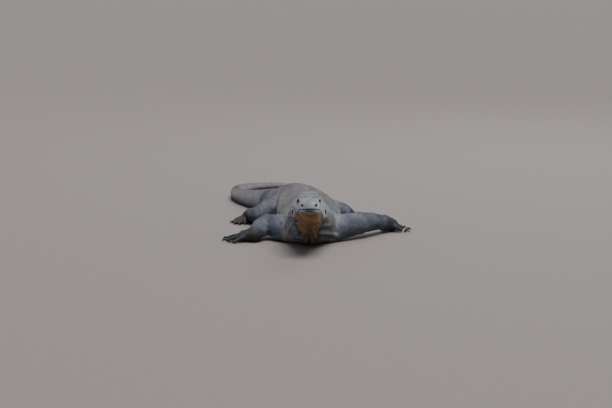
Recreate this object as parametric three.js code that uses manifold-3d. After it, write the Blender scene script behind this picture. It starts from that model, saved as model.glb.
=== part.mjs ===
// A life-size komodo dragon lying flat on its belly, head raised and facing -Y, tail curled round behind it.
// Units are millimetres, +Z is up and the ground is Z = 0. The sizes below are laid out in a working frame
// whose X = 0, Y = 0 is the ground under the front of the chest; the finished group is centred at the end.
import * as THREE from "three";
import { mergeVertices } from "three/addons/utils/BufferGeometryUtils.js";
import Module from "manifold-3d";

const wasm = await Module();
wasm.setup();

// ---------------------------------------------------------------- driving dimensions

const GAP = 0.3; // open space left between touching pieces
const EYE_LINE = new THREE.Vector3(0, -270, 224); // midway between the two eyes
const HEAD_PITCH = THREE.MathUtils.degToRad(9.5); // snout raised by this much
const EYE_OUT = 35.5; // centre of each eyeball from the middle of the head
const EYE_RADIUS = 10.5;
const BROW = { along: -4, up: 6, out: 31, long: 25, high: 12.5, wide: 14.5 }; // the swelling over each eye
const MOUTH_FRONT = { along: 96, up: -35 }; // the closed mouth's line, in the head's own frame
const MOUTH_CORNER = { along: -42, up: -46 };

// The head in its own frame: along is the distance ahead of the eyes, top and bottom are heights from the
// eyes, widest is the height at which the section is half as wide as 2 * half.
const HEAD = [
  { along: 97, top: -22, bottom: -46, half: 15, widest: -37, roundTop: 2.0, roundBottom: 2.0 },
  { along: 92, top: -11, bottom: -55, half: 26, widest: -39, roundTop: 2.1, roundBottom: 2.0 },
  { along: 80, top: -4, bottom: -64, half: 35, widest: -40, roundTop: 2.3, roundBottom: 2.0 },
  { along: 62, top: 1, bottom: -73, half: 41, widest: -41, roundTop: 2.3, roundBottom: 2.0 },
  { along: 36, top: 8, bottom: -82, half: 46, widest: -42, roundTop: 2.4, roundBottom: 2.0 },
  { along: 8, top: 15, bottom: -92, half: 49, widest: -43, roundTop: 2.7, roundBottom: 2.0 },
  { along: -20, top: 18, bottom: -102, half: 53, widest: -44, roundTop: 2.7, roundBottom: 1.9 },
  { along: -52, top: 21, bottom: -114, half: 57, widest: -46, roundTop: 2.5, roundBottom: 1.8 },
  { along: -86, top: 26, bottom: -126, half: 65, widest: -47, roundTop: 2.4, roundBottom: 1.75 },
];

// Neck, trunk and tail: x and y of the middle line, heights of the top, of the widest level and of the bottom,
// half the width, and how far each section leans back with the head (in degrees).
const BODY = [
  { x: 0, y: -122, top: 240, widest: 150, bottom: 64, half: 73, lean: 6, roundTop: 2.2, roundBottom: 1.75 },
  { x: 1, y: -62, top: 225, widest: 128, bottom: 32, half: 82, lean: 3, roundTop: 2.1, roundBottom: 1.8 },
  { x: 3, y: 0, top: 203, widest: 104, bottom: 8, half: 95, lean: 1, roundTop: 2.0, roundBottom: 1.9 },
  { x: 5, y: 62, top: 185, widest: 84, bottom: -4, half: 108, lean: 0, roundTop: 2.0, roundBottom: 2.1 },
  { x: 7, y: 140, top: 173, widest: 72, bottom: -4, half: 118, lean: 0, roundTop: 2.0, roundBottom: 2.3 },
  { x: 8, y: 240, top: 168, widest: 65, bottom: -4, half: 127, lean: 0, roundTop: 1.95, roundBottom: 2.4 },
  { x: 6, y: 350, top: 171, widest: 62, bottom: -4, half: 133, lean: 0, roundTop: 1.9, roundBottom: 2.4 },
  { x: -6, y: 450, top: 176, widest: 64, bottom: -4, half: 131, lean: 0, roundTop: 1.9, roundBottom: 2.4 },
  { x: -30, y: 545, top: 179, widest: 70, bottom: -4, half: 116, lean: 0, roundTop: 1.9, roundBottom: 2.3 },
  { x: -66, y: 635, top: 174, widest: 76, bottom: -3, half: 92, lean: 0, roundTop: 1.95, roundBottom: 2.2 },
  { x: -103, y: 720, top: 153, widest: 70, bottom: -2, half: 76, lean: 0, roundTop: 1.95, roundBottom: 2.1 },
  { x: -145, y: 815, top: 126, widest: 57, bottom: -2, half: 63, lean: 0, roundTop: 1.9, roundBottom: 2.1 },
  { x: -202, y: 950, top: 101, widest: 46, bottom: -2, half: 48, lean: 0, roundTop: 1.8, roundBottom: 2.1 },
  { x: -257, y: 1072, top: 83, widest: 38, bottom: -2, half: 38, lean: 0, roundTop: 1.8, roundBottom: 2.1 },
  { x: -311, y: 1190, top: 71, widest: 32, bottom: -2, half: 32, lean: 0, roundTop: 1.8, roundBottom: 2.1 },
  { x: -345, y: 1316, top: 61, widest: 28, bottom: -2, half: 27, lean: 0, roundTop: 1.8, roundBottom: 2.1 },
  { x: -349, y: 1437, top: 53, widest: 24, bottom: -2, half: 23, lean: 0, roundTop: 1.8, roundBottom: 2.1 },
  { x: -319, y: 1557, top: 45, widest: 20, bottom: -2, half: 19, lean: 0, roundTop: 1.8, roundBottom: 2.1 },
  { x: -255, y: 1658, top: 37, widest: 17, bottom: -2, half: 16, lean: 0, roundTop: 1.8, roundBottom: 2.1 },
  { x: -165, y: 1726, top: 29, widest: 13, bottom: -2, half: 12.5, lean: 0, roundTop: 1.8, roundBottom: 2.1 },
  { x: -72, y: 1742, top: 21, widest: 9, bottom: -1.5, half: 9, lean: 0, roundTop: 1.9, roundBottom: 2.1 },
  { x: 5, y: 1702, top: 13, widest: 6, bottom: -1, half: 5.5, lean: 0, roundTop: 2.0, roundBottom: 2.0 },
  { x: 48, y: 1640, top: 5.5, widest: 2.6, bottom: -0.5, half: 2.4, lean: 0, roundTop: 2.0, roundBottom: 2.0 },
];
const RINGS_PER_SPAN = 2; // rings worked out between one row of HEAD or BODY and the next
const BODY_SIDES = 16;

// Where the body is parted, as the number of a row counted through HEAD and then BODY.
const LENGTHS = [
  ["head", 0, 7.6],
  ["neck", 7.6, 11.2],
  ["chest", 11.2, 13.5],
  ["belly", 13.5, 16.5],
  ["hips", 16.5, 19],
  ["tail_base", 19, 21.5],
  ["tail_near", 21.5, 24.5],
  ["tail_bend", 24.5, 27],
  ["tail_tip", 27, 31],
];

// Limbs: joint centres p, and the half-width w and half-height h of the flesh round them. A foot's heel is
// the middle of its back end, front the height of its middle at the knuckles, heading the way it points in
// degrees from +X. Each toe turns from that heading.
const LIMBS = {
  fore_right: {
    upper: [
      { p: [-78, 84, 54], w: 46, h: 57 },
      { p: [-132, 142, 58], w: 45, h: 51 },
      { p: [-174, 204, 59], w: 41, h: 42 },
    ],
    lower: [
      { p: [-176, 196, 58], w: 36, h: 38 },
      { p: [-200, 145, 51], w: 38, h: 41 },
      { p: [-226, 90, 35], w: 31, h: 32 },
    ],
    foot: { heel: [-221, 82, 32], front: 23, heading: 154, palm: 66, breadth: 35, depth: 24 },
    toes: [
      { turn: -48, length: 42, thick: 9.5 },
      { turn: -22, length: 58, thick: 10 },
      { turn: 0, length: 66, thick: 10.5 },
      { turn: 24, length: 64, thick: 10 },
      { turn: 54, length: 48, thick: 9 },
    ],
    claw: 27,
  },
  fore_left: {
    upper: [
      { p: [82, 88, 55], w: 46, h: 58 },
      { p: [150, 140, 60], w: 45, h: 53 },
      { p: [214, 196, 64], w: 41, h: 46 },
    ],
    lower: [
      { p: [214, 196, 64], w: 40, h: 45 },
      { p: [266, 262, 58], w: 35, h: 39 },
      { p: [316, 326, 46], w: 27, h: 30 },
    ],
    foot: { heel: [318, 330, 44], front: 27, heading: 47, palm: 62, breadth: 34, depth: 28 },
    toes: [
      { turn: 48, length: 42, thick: 9.5 },
      { turn: 22, length: 58, thick: 10 },
      { turn: 0, length: 66, thick: 10.5 },
      { turn: -24, length: 64, thick: 10 },
      { turn: -54, length: 48, thick: 9 },
    ],
    claw: 27,
  },
  hind_right: {
    upper: [
      { p: [-98, 655, 80], w: 50, h: 53 },
      { p: [-170, 596, 70], w: 43, h: 45 },
      { p: [-230, 536, 45], w: 33, h: 31 },
    ],
    lower: [
      { p: [-230, 536, 45], w: 31, h: 30 },
      { p: [-252, 606, 38], w: 31, h: 29 },
      { p: [-268, 672, 25], w: 22, h: 22 },
    ],
    foot: { heel: [-268, 676, 20], front: 16, heading: 258, palm: 66, breadth: 33, depth: 18 },
    toes: [
      { turn: 22, length: 44, thick: 9 },
      { turn: 9, length: 58, thick: 9.5 },
      { turn: -3, length: 68, thick: 10 },
      { turn: -15, length: 72, thick: 10 },
      { turn: -31, length: 58, thick: 9 },
    ],
    claw: 25,
  },
  hind_left: {
    upper: [
      { p: [-30, 640, 82], w: 50, h: 53 },
      { p: [48, 594, 82], w: 45, h: 46 },
      { p: [117, 548, 70], w: 36, h: 36 },
    ],
    lower: [
      { p: [117, 548, 70], w: 33, h: 34 },
      { p: [150, 614, 54], w: 32, h: 33 },
      { p: [176, 682, 33], w: 23, h: 26 },
    ],
    foot: { heel: [178, 690, 25], front: 17, heading: 297, palm: 66, breadth: 33, depth: 18 },
    toes: [
      { turn: -34, length: 44, thick: 9 },
      { turn: -14, length: 58, thick: 9.5 },
      { turn: 3, length: 72, thick: 10 },
      { turn: 20, length: 84, thick: 10 },
      { turn: 58, length: 60, thick: 9 },
    ],
    claw: 25,
  },
};
const LIMB_GRAIN = { sides: 11, perSpan: 2, rounding: [55] };
const PALM_GRAIN = { sides: 11, perSpan: 1, rounding: [55] };
const TOE_GRAIN = { sides: 6, perSpan: 2, rounding: [50] };
const CLAW_GRAIN = { sides: 5, perSpan: 1, rounding: [45] };
const TOE_NUMERALS = ["one", "two", "three", "four", "five"];

// ---------------------------------------------------------------- materials

const skinOf = (name, colour) =>
  new THREE.MeshStandardMaterial({ name, color: colour, roughness: 0.8, metalness: 0 });
const HEAD_SKIN = skinOf("head skin", 0x8a8f94);
const BODY_SKIN = skinOf("body skin", 0x746f6c);
const LIMB_SKIN = skinOf("limb skin", 0x4f565f);
const CLAW_HORN = new THREE.MeshStandardMaterial({
  name: "claw horn",
  color: 0x8f887c,
  roughness: 0.5,
  metalness: 0,
});
const EYE_GLOSS = new THREE.MeshStandardMaterial({
  name: "eye",
  color: 0x1c1712,
  roughness: 0.15,
  metalness: 0,
});

// ---------------------------------------------------------------- solids and meshes

// A closed three.js geometry as a solid that can be joined and cut.
function solidOf(geometry) {
  const bare = geometry.clone();
  bare.deleteAttribute("normal");
  bare.deleteAttribute("uv");
  const merged = mergeVertices(bare, 1e-4);
  return new wasm.Manifold(
    new wasm.Mesh({
      numProp: 3,
      vertProperties: merged.attributes.position.array,
      triVerts: new Uint32Array(merged.index.array),
    }),
  );
}

function meshOf(name, solid, material) {
  const { vertProperties, triVerts } = solid.getMesh();
  const geometry = new THREE.BufferGeometry()
    .setAttribute("position", new THREE.BufferAttribute(vertProperties, 3))
    .setIndex(new THREE.BufferAttribute(triVerts, 1));
  geometry.computeVertexNormals();
  const mesh = new THREE.Mesh(geometry, material);
  mesh.name = name;
  return mesh;
}

// Joins rings of equal length into a closed skin, with a fan to the middle of each end ring.
function loft(rings) {
  const sides = rings[0].length;
  const points = rings.flat();
  const middle = (ring) =>
    ring.reduce((sum, p) => sum.add(p), new THREE.Vector3()).multiplyScalar(1 / sides);
  const first = points.push(middle(rings[0])) - 1;
  const last = points.push(middle(rings.at(-1))) - 1;
  const faces = [];
  for (let k = 0; k < sides; k++) {
    const next = (k + 1) % sides;
    faces.push([first, next, k]);
    const end = (rings.length - 1) * sides;
    faces.push([last, end + k, end + next]);
    for (let i = 0; i + 1 < rings.length; i++) {
      const a = i * sides + k;
      const b = i * sides + next;
      faces.push([a, b, b + sides], [a, b + sides, a + sides]);
    }
  }
  // Six times the volume, negative when the rings run the other way round.
  const volume = faces.reduce(
    (sum, [a, b, c]) => sum + points[a].dot(points[b].clone().cross(points[c])),
    0,
  );
  const turned = volume < 0 ? faces.map(([a, b, c]) => [a, c, b]) : faces;
  const geometry = new THREE.BufferGeometry().setFromPoints(points).setIndex(turned.flat());
  return solidOf(geometry);
}

// A point of a closed curve between an ellipse and a rectangle: power 2 is an ellipse, more is squarer.
const squarer = (value, power) => Math.sign(value) * Math.abs(value) ** (2 / power);

// Catmull-Rom between the rows of a table: each named number at row u.
function rowAt(table, u) {
  const i = Math.min(Math.floor(u), table.length - 2);
  const t = u - i;
  const row = (k) => table[THREE.MathUtils.clamp(k, 0, table.length - 1)];
  const [a, b, c, d] = [row(i - 1), row(i), row(i + 1), row(i + 2)];
  const smooth = (key) =>
    0.5 *
    (2 * b[key] +
      (c[key] - a[key]) * t +
      (2 * a[key] - 5 * b[key] + 4 * c[key] - d[key]) * t ** 2 +
      (3 * b[key] - a[key] - 3 * c[key] + d[key]) * t ** 3);
  return Object.fromEntries(Object.keys(b).map((key) => [key, smooth(key)]));
}

// ---------------------------------------------------------------- head, neck, trunk and tail

const HEAD_AHEAD = new THREE.Vector3(0, -Math.cos(HEAD_PITCH), Math.sin(HEAD_PITCH));
const HEAD_UP = new THREE.Vector3(0, Math.sin(HEAD_PITCH), Math.cos(HEAD_PITCH));

function headPoint(along, up, out = 0) {
  return EYE_LINE.clone()
    .addScaledVector(HEAD_AHEAD, along)
    .addScaledVector(HEAD_UP, up)
    .add(new THREE.Vector3(out, 0, 0));
}

// Every row as one kind: the middle of the widest level, the rise above it, the drop below it, and the lean.
const AXIS = [
  ...HEAD.map((s) => {
    const c = headPoint(s.along, s.widest);
    return {
      x: c.x,
      y: c.y,
      z: c.z,
      rise: s.top - s.widest,
      drop: s.widest - s.bottom,
      half: s.half,
      lean: THREE.MathUtils.radToDeg(HEAD_PITCH),
      roundTop: s.roundTop,
      roundBottom: s.roundBottom,
    };
  }),
  ...BODY.map((s) => ({
    x: s.x,
    y: s.y,
    z: s.widest,
    rise: s.top - s.widest,
    drop: s.widest - s.bottom,
    half: s.half,
    lean: s.lean,
    roundTop: s.roundTop,
    roundBottom: s.roundBottom,
  })),
];

// The ring of the body at row u: a vertical section across its path, leant back by its own angle.
function bodyRing(u, grow) {
  const s = rowAt(AXIS, u);
  const step = 0.02;
  const before = rowAt(AXIS, Math.max(u - step, 0));
  const after = rowAt(AXIS, Math.min(u + step, AXIS.length - 1));
  const back = new THREE.Vector3(after.x - before.x, after.y - before.y, 0).normalize();
  const right = new THREE.Vector3(-back.y, back.x, 0);
  const up = new THREE.Vector3(0, 0, 1).applyAxisAngle(right, THREE.MathUtils.degToRad(s.lean));
  return Array.from({ length: BODY_SIDES }, (_, k) => {
    const a = (2 * Math.PI * k) / BODY_SIDES;
    const above = Math.sin(a) >= 0;
    const power = above ? s.roundTop : s.roundBottom;
    const across = (s.half + grow) * squarer(Math.cos(a), power);
    const height = ((above ? s.rise : s.drop) + grow) * squarer(Math.sin(a), power);
    return new THREE.Vector3(s.x, s.y, s.z).addScaledVector(right, across).addScaledVector(up, height);
  });
}

// A length of the body between two rows, drawn in by half the gap at each cut.
function bodyLength(from, to, grow = 0) {
  const speed = (u) => {
    const a = rowAt(AXIS, Math.max(u - 0.01, 0));
    const b = rowAt(AXIS, Math.min(u + 0.01, AXIS.length - 1));
    return Math.hypot(b.x - a.x, b.y - a.y, b.z - a.z) / 0.02;
  };
  const start = from + (GAP / 2 - grow) / speed(from);
  const end = to - (GAP / 2 - grow) / speed(to);
  const between = [];
  for (let u = Math.ceil(from * RINGS_PER_SPAN + 0.3); u < to * RINGS_PER_SPAN - 0.3; u++)
    between.push(u / RINGS_PER_SPAN);
  const stops = [Math.max(start, 0), ...between, Math.min(end, AXIS.length - 1)];
  return loft(stops.map((u) => bodyRing(u, grow)));
}

// ---------------------------------------------------------------- limbs, feet and claws

// A tube through a few joints, half-width w across and half-height h. Each end is rounded off by rings
// drawn in at the angles of rounding.
function fleshyTube(joints, { sides, perSpan, rounding }, grow = 0) {
  const table = joints.map(({ p, w, h }) => ({ x: p[0], y: p[1], z: p[2], w, h }));
  const last = table.length - 1;
  const at = (u) => {
    const s = rowAt(table, u);
    const a = rowAt(table, Math.max(u - 0.05, 0));
    const b = rowAt(table, Math.min(u + 0.05, last));
    const ahead = new THREE.Vector3(b.x - a.x, b.y - a.y, b.z - a.z).normalize();
    const right = new THREE.Vector3(-ahead.y, ahead.x, 0).normalize();
    const up = new THREE.Vector3().crossVectors(ahead, right).normalize();
    return { s, centre: new THREE.Vector3(s.x, s.y, s.z), ahead, right, up };
  };
  const ring = ({ s, centre, ahead, right, up }, share, shift) =>
    Array.from({ length: sides }, (_, k) => {
      const a = (2 * Math.PI * k) / sides;
      return centre
        .clone()
        .addScaledVector(ahead, shift)
        .addScaledVector(right, (s.w + grow) * share * Math.cos(a))
        .addScaledVector(up, (s.h + grow) * share * Math.sin(a));
    });
  const caps = rounding.map((degrees) => THREE.MathUtils.degToRad(degrees));
  const reach = (frame) => 0.75 * (Math.min(frame.s.w, frame.s.h) + grow);
  const head = at(0);
  const tail = at(last);
  const rings = caps.map((a) => ring(head, Math.cos(a), -reach(head) * Math.sin(a)));
  for (let i = 0; i <= last * perSpan; i++) rings.push(ring(at(i / perSpan), 1, 0));
  caps.toReversed().forEach((a) => rings.push(ring(tail, Math.cos(a), reach(tail) * Math.sin(a))));
  return loft(rings);
}

const flatHeading = (degrees) => {
  const a = THREE.MathUtils.degToRad(degrees);
  return new THREE.Vector3(Math.cos(a), Math.sin(a), 0);
};

// Where one toe starts, arches, ends and carries its claw.
function toePath({ foot, claw }, { turn, length, thick }) {
  const heel = new THREE.Vector3(...foot.heel);
  const ahead = flatHeading(foot.heading);
  const side = flatHeading(foot.heading + 90);
  const way = flatHeading(foot.heading + turn);
  const spread = Math.sin(THREE.MathUtils.degToRad(turn));
  const root = heel
    .clone()
    .addScaledVector(ahead, foot.palm * (0.95 - 0.45 * Math.abs(spread)))
    .addScaledVector(side, foot.breadth * 0.85 * spread)
    .setZ(foot.front + 2);
  const at = (share, z) => root.clone().addScaledVector(way, length * share).setZ(z);
  const knuckle = at(0.5, thick * 1.9);
  const tip = at(1, thick * 0.72);
  const clawMiddle = tip.clone().addScaledVector(way, claw * 0.55).setZ(thick * 1.05);
  const clawEnd = tip.clone().addScaledVector(way, claw).setZ(thick * 0.12);
  return { root, knuckle, tip, clawMiddle, clawEnd };
}

function toeSolid(limb, toe, grow = 0) {
  const { root, knuckle, tip } = toePath(limb, toe);
  const t = toe.thick;
  return fleshyTube(
    [
      { p: root.toArray(), w: t * 1.3, h: t * 1.25 },
      { p: knuckle.toArray(), w: t * 1.1, h: t * 1.05 },
      { p: tip.toArray(), w: t * 0.85, h: t * 0.9 },
    ],
    TOE_GRAIN,
    grow,
  );
}

function clawSolid(limb, toe) {
  const { tip, clawMiddle, clawEnd } = toePath(limb, toe);
  const t = toe.thick;
  return fleshyTube(
    [
      { p: tip.toArray(), w: t * 0.42, h: t * 0.62 },
      { p: clawMiddle.toArray(), w: t * 0.34, h: t * 0.46 },
      { p: clawEnd.toArray(), w: t * 0.08, h: t * 0.1 },
    ],
    CLAW_GRAIN,
  );
}

// The sole and back of the foot, before its toes are joined to it.
function palmSolid({ foot }, grow = 0) {
  const heel = new THREE.Vector3(...foot.heel);
  const ahead = flatHeading(foot.heading);
  const at = (share, z) => heel.clone().addScaledVector(ahead, foot.palm * share).setZ(z).toArray();
  return fleshyTube(
    [
      { p: at(0, foot.heel[2]), w: foot.breadth * 0.78, h: foot.depth * 1.25 },
      { p: at(0.5, (foot.heel[2] + foot.front) / 2), w: foot.breadth * 0.92, h: foot.depth * 1.1 },
      { p: at(0.85, foot.front), w: foot.breadth, h: foot.depth },
    ],
    PALM_GRAIN,
    grow,
  );
}

const footSolid = (limb, grow = 0) =>
  limb.toes.reduce((sum, toe) => sum.add(toeSolid(limb, toe, grow)), palmSolid(limb, grow));

// ---------------------------------------------------------------- putting the animal together

// Everything above the ground: a box from Z = 0 up, wider than the animal.
function aboveGround() {
  const room = 6000;
  return solidOf(new THREE.BoxGeometry(room, room, room).translate(0, 0, room / 2));
}

// A box that holds the lower jaw: its top lies in the mouth's line, its back just behind the corners.
function jawSpace(grow) {
  const front = headPoint(MOUTH_FRONT.along, MOUTH_FRONT.up);
  const corner = headPoint(MOUTH_CORNER.along, MOUTH_CORNER.up);
  const slope = Math.atan2(front.z - corner.z, corner.y - front.y);
  const reach = 200;
  const depth = 160;
  const width = 200;
  return solidOf(
    new THREE.BoxGeometry(width, reach, depth)
      .translate(0, -reach / 2 + grow, -depth / 2 + grow)
      .rotateX(-slope)
      .translate(corner.x, corner.y, corner.z),
  );
}

function eyeBall(side, radius) {
  const c = headPoint(0, 0, side * EYE_OUT);
  return solidOf(new THREE.SphereGeometry(radius, 10, 5).translate(c.x, c.y, c.z));
}

function brow(side) {
  const c = headPoint(BROW.along, BROW.up, side * BROW.out);
  const dome = new THREE.SphereGeometry(1, 8, 5).scale(BROW.wide, BROW.long, BROW.high);
  return solidOf(dome.rotateX(-HEAD_PITCH).translate(c.x, c.y, c.z));
}

function komodoDragon() {
  const ground = aboveGround();
  const animal = new THREE.Group();
  const place = (name, solid, material) => animal.add(meshOf(name, solid.intersect(ground), material));

  const lengths = new Map(LENGTHS.map(([name, from, to]) => [name, bodyLength(from, to)]));
  const around = LENGTHS.map(([, from, to]) => bodyLength(from, to, GAP)).reduce((sum, s) => sum.add(s));

  const head = lengths.get("head").add(brow(-1)).add(brow(1));
  const sockets = [-1, 1].map((side) => eyeBall(side, EYE_RADIUS + GAP));
  place(
    "head",
    sockets.reduce((sum, s) => sum.subtract(s), head.subtract(jawSpace(GAP))),
    HEAD_SKIN,
  );
  place("lower_jaw", head.intersect(jawSpace(0)), HEAD_SKIN);
  place("eye_right", eyeBall(-1, EYE_RADIUS), EYE_GLOSS);
  place("eye_left", eyeBall(1, EYE_RADIUS), EYE_GLOSS);
  lengths.delete("head");
  lengths.forEach((solid, name) => place(name, solid, BODY_SKIN));

  Object.entries(LIMBS).forEach(([name, limb]) => {
    const upper = fleshyTube(limb.upper, LIMB_GRAIN);
    const lower = fleshyTube(limb.lower, LIMB_GRAIN);
    const aroundUpper = fleshyTube(limb.upper, LIMB_GRAIN, GAP);
    const aroundLower = fleshyTube(limb.lower, LIMB_GRAIN, GAP);
    place(name + "_upper", upper.subtract(around), LIMB_SKIN);
    place(name + "_lower", lower.subtract(around).subtract(aroundUpper), LIMB_SKIN);
    place(name + "_foot", footSolid(limb).subtract(aroundLower).subtract(aroundUpper), LIMB_SKIN);
    const aroundLeg = footSolid(limb, GAP).add(aroundLower);
    limb.toes.forEach((toe, i) =>
      place(name + "_claw_" + TOE_NUMERALS[i], clawSolid(limb, toe).subtract(aroundLeg), CLAW_HORN),
    );
  });

  // The group's origin is the middle of the animal's outline seen from above, on the ground.
  const box = new THREE.Box3().setFromObject(animal);
  const middle = box.getCenter(new THREE.Vector3());
  animal.position.set(-middle.x, -middle.y, 0);
  return animal;
}

export default komodoDragon();
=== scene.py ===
"""A life-size komodo dragon lying on its belly, its hide one skin under tens of thousands of scales.

Lengths in the tables and functions are millimetres in the animal's own working frame: X = 0, Y = 0 is the
ground under the front of the chest, the head faces -Y and +Z is up. to_row() turns them into metres in the
row frame.
"""

import math

import bpy
import numpy as np
import openvdb as vdb
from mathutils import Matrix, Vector
from mathutils.bvhtree import BVHTree
from mathutils.kdtree import KDTree


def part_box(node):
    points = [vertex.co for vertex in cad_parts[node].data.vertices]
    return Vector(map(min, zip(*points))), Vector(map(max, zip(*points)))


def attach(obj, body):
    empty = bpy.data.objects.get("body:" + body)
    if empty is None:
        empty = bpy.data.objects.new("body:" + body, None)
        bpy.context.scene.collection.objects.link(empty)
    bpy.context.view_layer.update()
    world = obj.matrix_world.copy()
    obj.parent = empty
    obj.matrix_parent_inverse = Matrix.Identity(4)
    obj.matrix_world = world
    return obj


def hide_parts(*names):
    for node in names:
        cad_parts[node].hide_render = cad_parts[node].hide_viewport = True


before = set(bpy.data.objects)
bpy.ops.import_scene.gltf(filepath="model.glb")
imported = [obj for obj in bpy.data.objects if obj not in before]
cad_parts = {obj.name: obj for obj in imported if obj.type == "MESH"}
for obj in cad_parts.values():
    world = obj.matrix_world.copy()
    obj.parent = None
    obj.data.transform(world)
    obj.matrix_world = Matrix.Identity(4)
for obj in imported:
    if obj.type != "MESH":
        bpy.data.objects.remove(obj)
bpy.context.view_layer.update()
RANDOM = np.random.default_rng(1701)

# ---------------------------------------------------------------- the animal's measures

MM = 0.001
EYE_LINE = np.array([0.0, -270.0, 224.0])  # midway between the eyes
HEAD_PITCH = math.radians(9.5)
EYE_OUT = 35.5
EYE_RADIUS = 10.5
HEAD_AHEAD = np.array([0.0, -math.cos(HEAD_PITCH), math.sin(HEAD_PITCH)])
HEAD_UP = np.array([0.0, math.sin(HEAD_PITCH), math.cos(HEAD_PITCH)])
MOUTH_FRONT = (96.0, -35.0)  # along and up, in the head's frame
MOUTH_CORNER = (-42.0, -46.0)

# Head sections: distance ahead of the eyes, top, widest level and bottom from the eyes, half-width, and the
# powers that make the upper and lower halves squarer than an ellipse.
HEAD = np.array([
    (97, -22, -37, -46, 15, 2.0, 2.0),
    (92, -11, -39, -55, 26, 2.1, 2.0),
    (80, -4, -40, -64, 35, 2.3, 2.0),
    (62, 1, -41, -73, 41, 2.3, 2.0),
    (36, 8, -42, -82, 46, 2.4, 2.0),
    (8, 15, -43, -92, 49, 2.7, 2.0),
    (-20, 18, -44, -102, 53, 2.7, 1.9),
    (-52, 21, -46, -114, 57, 2.5, 1.8),
    (-86, 26, -47, -126, 65, 2.4, 1.75),
])

# Neck, trunk and tail sections: x and y of the middle line, top, widest level, bottom, half-width, lean back
# in degrees, and the two powers.
BODY = np.array([
    (0, -122, 240, 150, 64, 73, 6, 2.2, 1.75),
    (1, -62, 225, 128, 32, 82, 3, 2.1, 1.8),
    (3, 0, 203, 104, 8, 95, 1, 2.0, 1.9),
    (5, 62, 185, 84, -4, 108, 0, 2.0, 2.1),
    (7, 140, 173, 72, -4, 118, 0, 2.0, 2.3),
    (8, 240, 168, 65, -4, 127, 0, 1.95, 2.4),
    (6, 350, 171, 62, -4, 133, 0, 1.9, 2.4),
    (-6, 450, 176, 64, -4, 131, 0, 1.9, 2.4),
    (-30, 545, 179, 70, -4, 116, 0, 1.9, 2.3),
    (-66, 635, 174, 76, -3, 92, 0, 1.95, 2.2),
    (-103, 720, 153, 70, -2, 76, 0, 1.95, 2.1),
    (-145, 815, 126, 57, -2, 63, 0, 1.9, 2.1),
    (-202, 950, 101, 46, -2, 48, 0, 1.8, 2.1),
    (-257, 1072, 83, 38, -2, 38, 0, 1.8, 2.1),
    (-311, 1190, 71, 32, -2, 32, 0, 1.8, 2.1),
    (-345, 1316, 61, 28, -2, 27, 0, 1.8, 2.1),
    (-349, 1437, 53, 24, -2, 23, 0, 1.8, 2.1),
    (-319, 1557, 45, 20, -2, 19, 0, 1.8, 2.1),
    (-255, 1658, 37, 17, -2, 16, 0, 1.8, 2.1),
    (-165, 1726, 29, 13, -2, 12.5, 0, 1.8, 2.1),
    (-72, 1742, 21, 9, -1.5, 9, 0, 1.9, 2.1),
    (5, 1702, 13, 6, -1, 5.5, 0, 2.0, 2.0),
    (48, 1640, 5.5, 2.6, -0.5, 2.4, 0, 2.0, 2.0),
])

# Limbs. "upper" and "lower": centres x, y, z with the half-width and half-height of the flesh. "foot": centre
# of the heel, height of the front, heading in degrees and lengths. "toes": turn from the heading in degrees,
# length and thickness. "claw": its length.
LIMBS = {
    "fore_right": {
        "upper": [(-78, 84, 54, 46, 57), (-132, 142, 58, 45, 51), (-174, 204, 59, 41, 42)],
        "lower": [(-176, 196, 58, 36, 38), (-200, 145, 51, 38, 41), (-226, 90, 35, 31, 32)],
        "foot": {"heel": (-221, 82, 32), "front": 23, "heading": 154, "palm": 66, "breadth": 35, "depth": 24},
        "toes": [(-48, 42, 9.5), (-22, 58, 10), (0, 66, 10.5), (24, 64, 10), (54, 48, 9)],
        "claw": 27,
    },
    "fore_left": {
        "upper": [(82, 88, 55, 46, 58), (150, 140, 60, 45, 53), (214, 196, 64, 41, 46)],
        "lower": [(214, 196, 64, 40, 45), (266, 262, 58, 35, 39), (316, 326, 46, 27, 30)],
        "foot": {"heel": (318, 330, 44), "front": 27, "heading": 47, "palm": 62, "breadth": 34, "depth": 28},
        "toes": [(48, 42, 9.5), (22, 58, 10), (0, 66, 10.5), (-24, 64, 10), (-54, 48, 9)],
        "claw": 27,
    },
    "hind_right": {
        "upper": [(-98, 655, 80, 50, 53), (-170, 596, 70, 43, 45), (-230, 536, 45, 33, 31)],
        "lower": [(-230, 536, 45, 31, 30), (-252, 606, 38, 31, 29), (-268, 672, 25, 22, 22)],
        "foot": {"heel": (-268, 676, 20), "front": 16, "heading": 258, "palm": 66, "breadth": 33, "depth": 18},
        "toes": [(22, 44, 9), (9, 58, 9.5), (-3, 68, 10), (-15, 72, 10), (-31, 58, 9)],
        "claw": 25,
    },
    "hind_left": {
        "upper": [(-30, 640, 82, 50, 53), (48, 594, 82, 45, 46), (117, 548, 70, 36, 36)],
        "lower": [(117, 548, 70, 33, 34), (150, 614, 54, 32, 33), (176, 682, 33, 23, 26)],
        "foot": {"heel": (178, 690, 25), "front": 17, "heading": 297, "palm": 66, "breadth": 33, "depth": 18},
        "toes": [(-34, 44, 9), (-14, 58, 9.5), (3, 72, 10), (20, 84, 10), (58, 60, 9)],
        "claw": 25,
    },
}
TOE_NUMERALS = ("one", "two", "three", "four", "five")

# Where the working frame lies in the row frame: the eyes are in both.
EYES_LOW = np.array([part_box(n)[0] for n in ("eye_right", "eye_left")])
EYES_HIGH = np.array([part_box(n)[1] for n in ("eye_right", "eye_left")])
ROW_SHIFT = (EYES_LOW + EYES_HIGH).mean(0) / 2 - EYE_LINE * MM


def to_row(points):
    """Working millimetres to metres in the row frame."""
    return np.asarray(points, float) * MM + ROW_SHIFT


# ---------------------------------------------------------------- shapes as arrays

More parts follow.
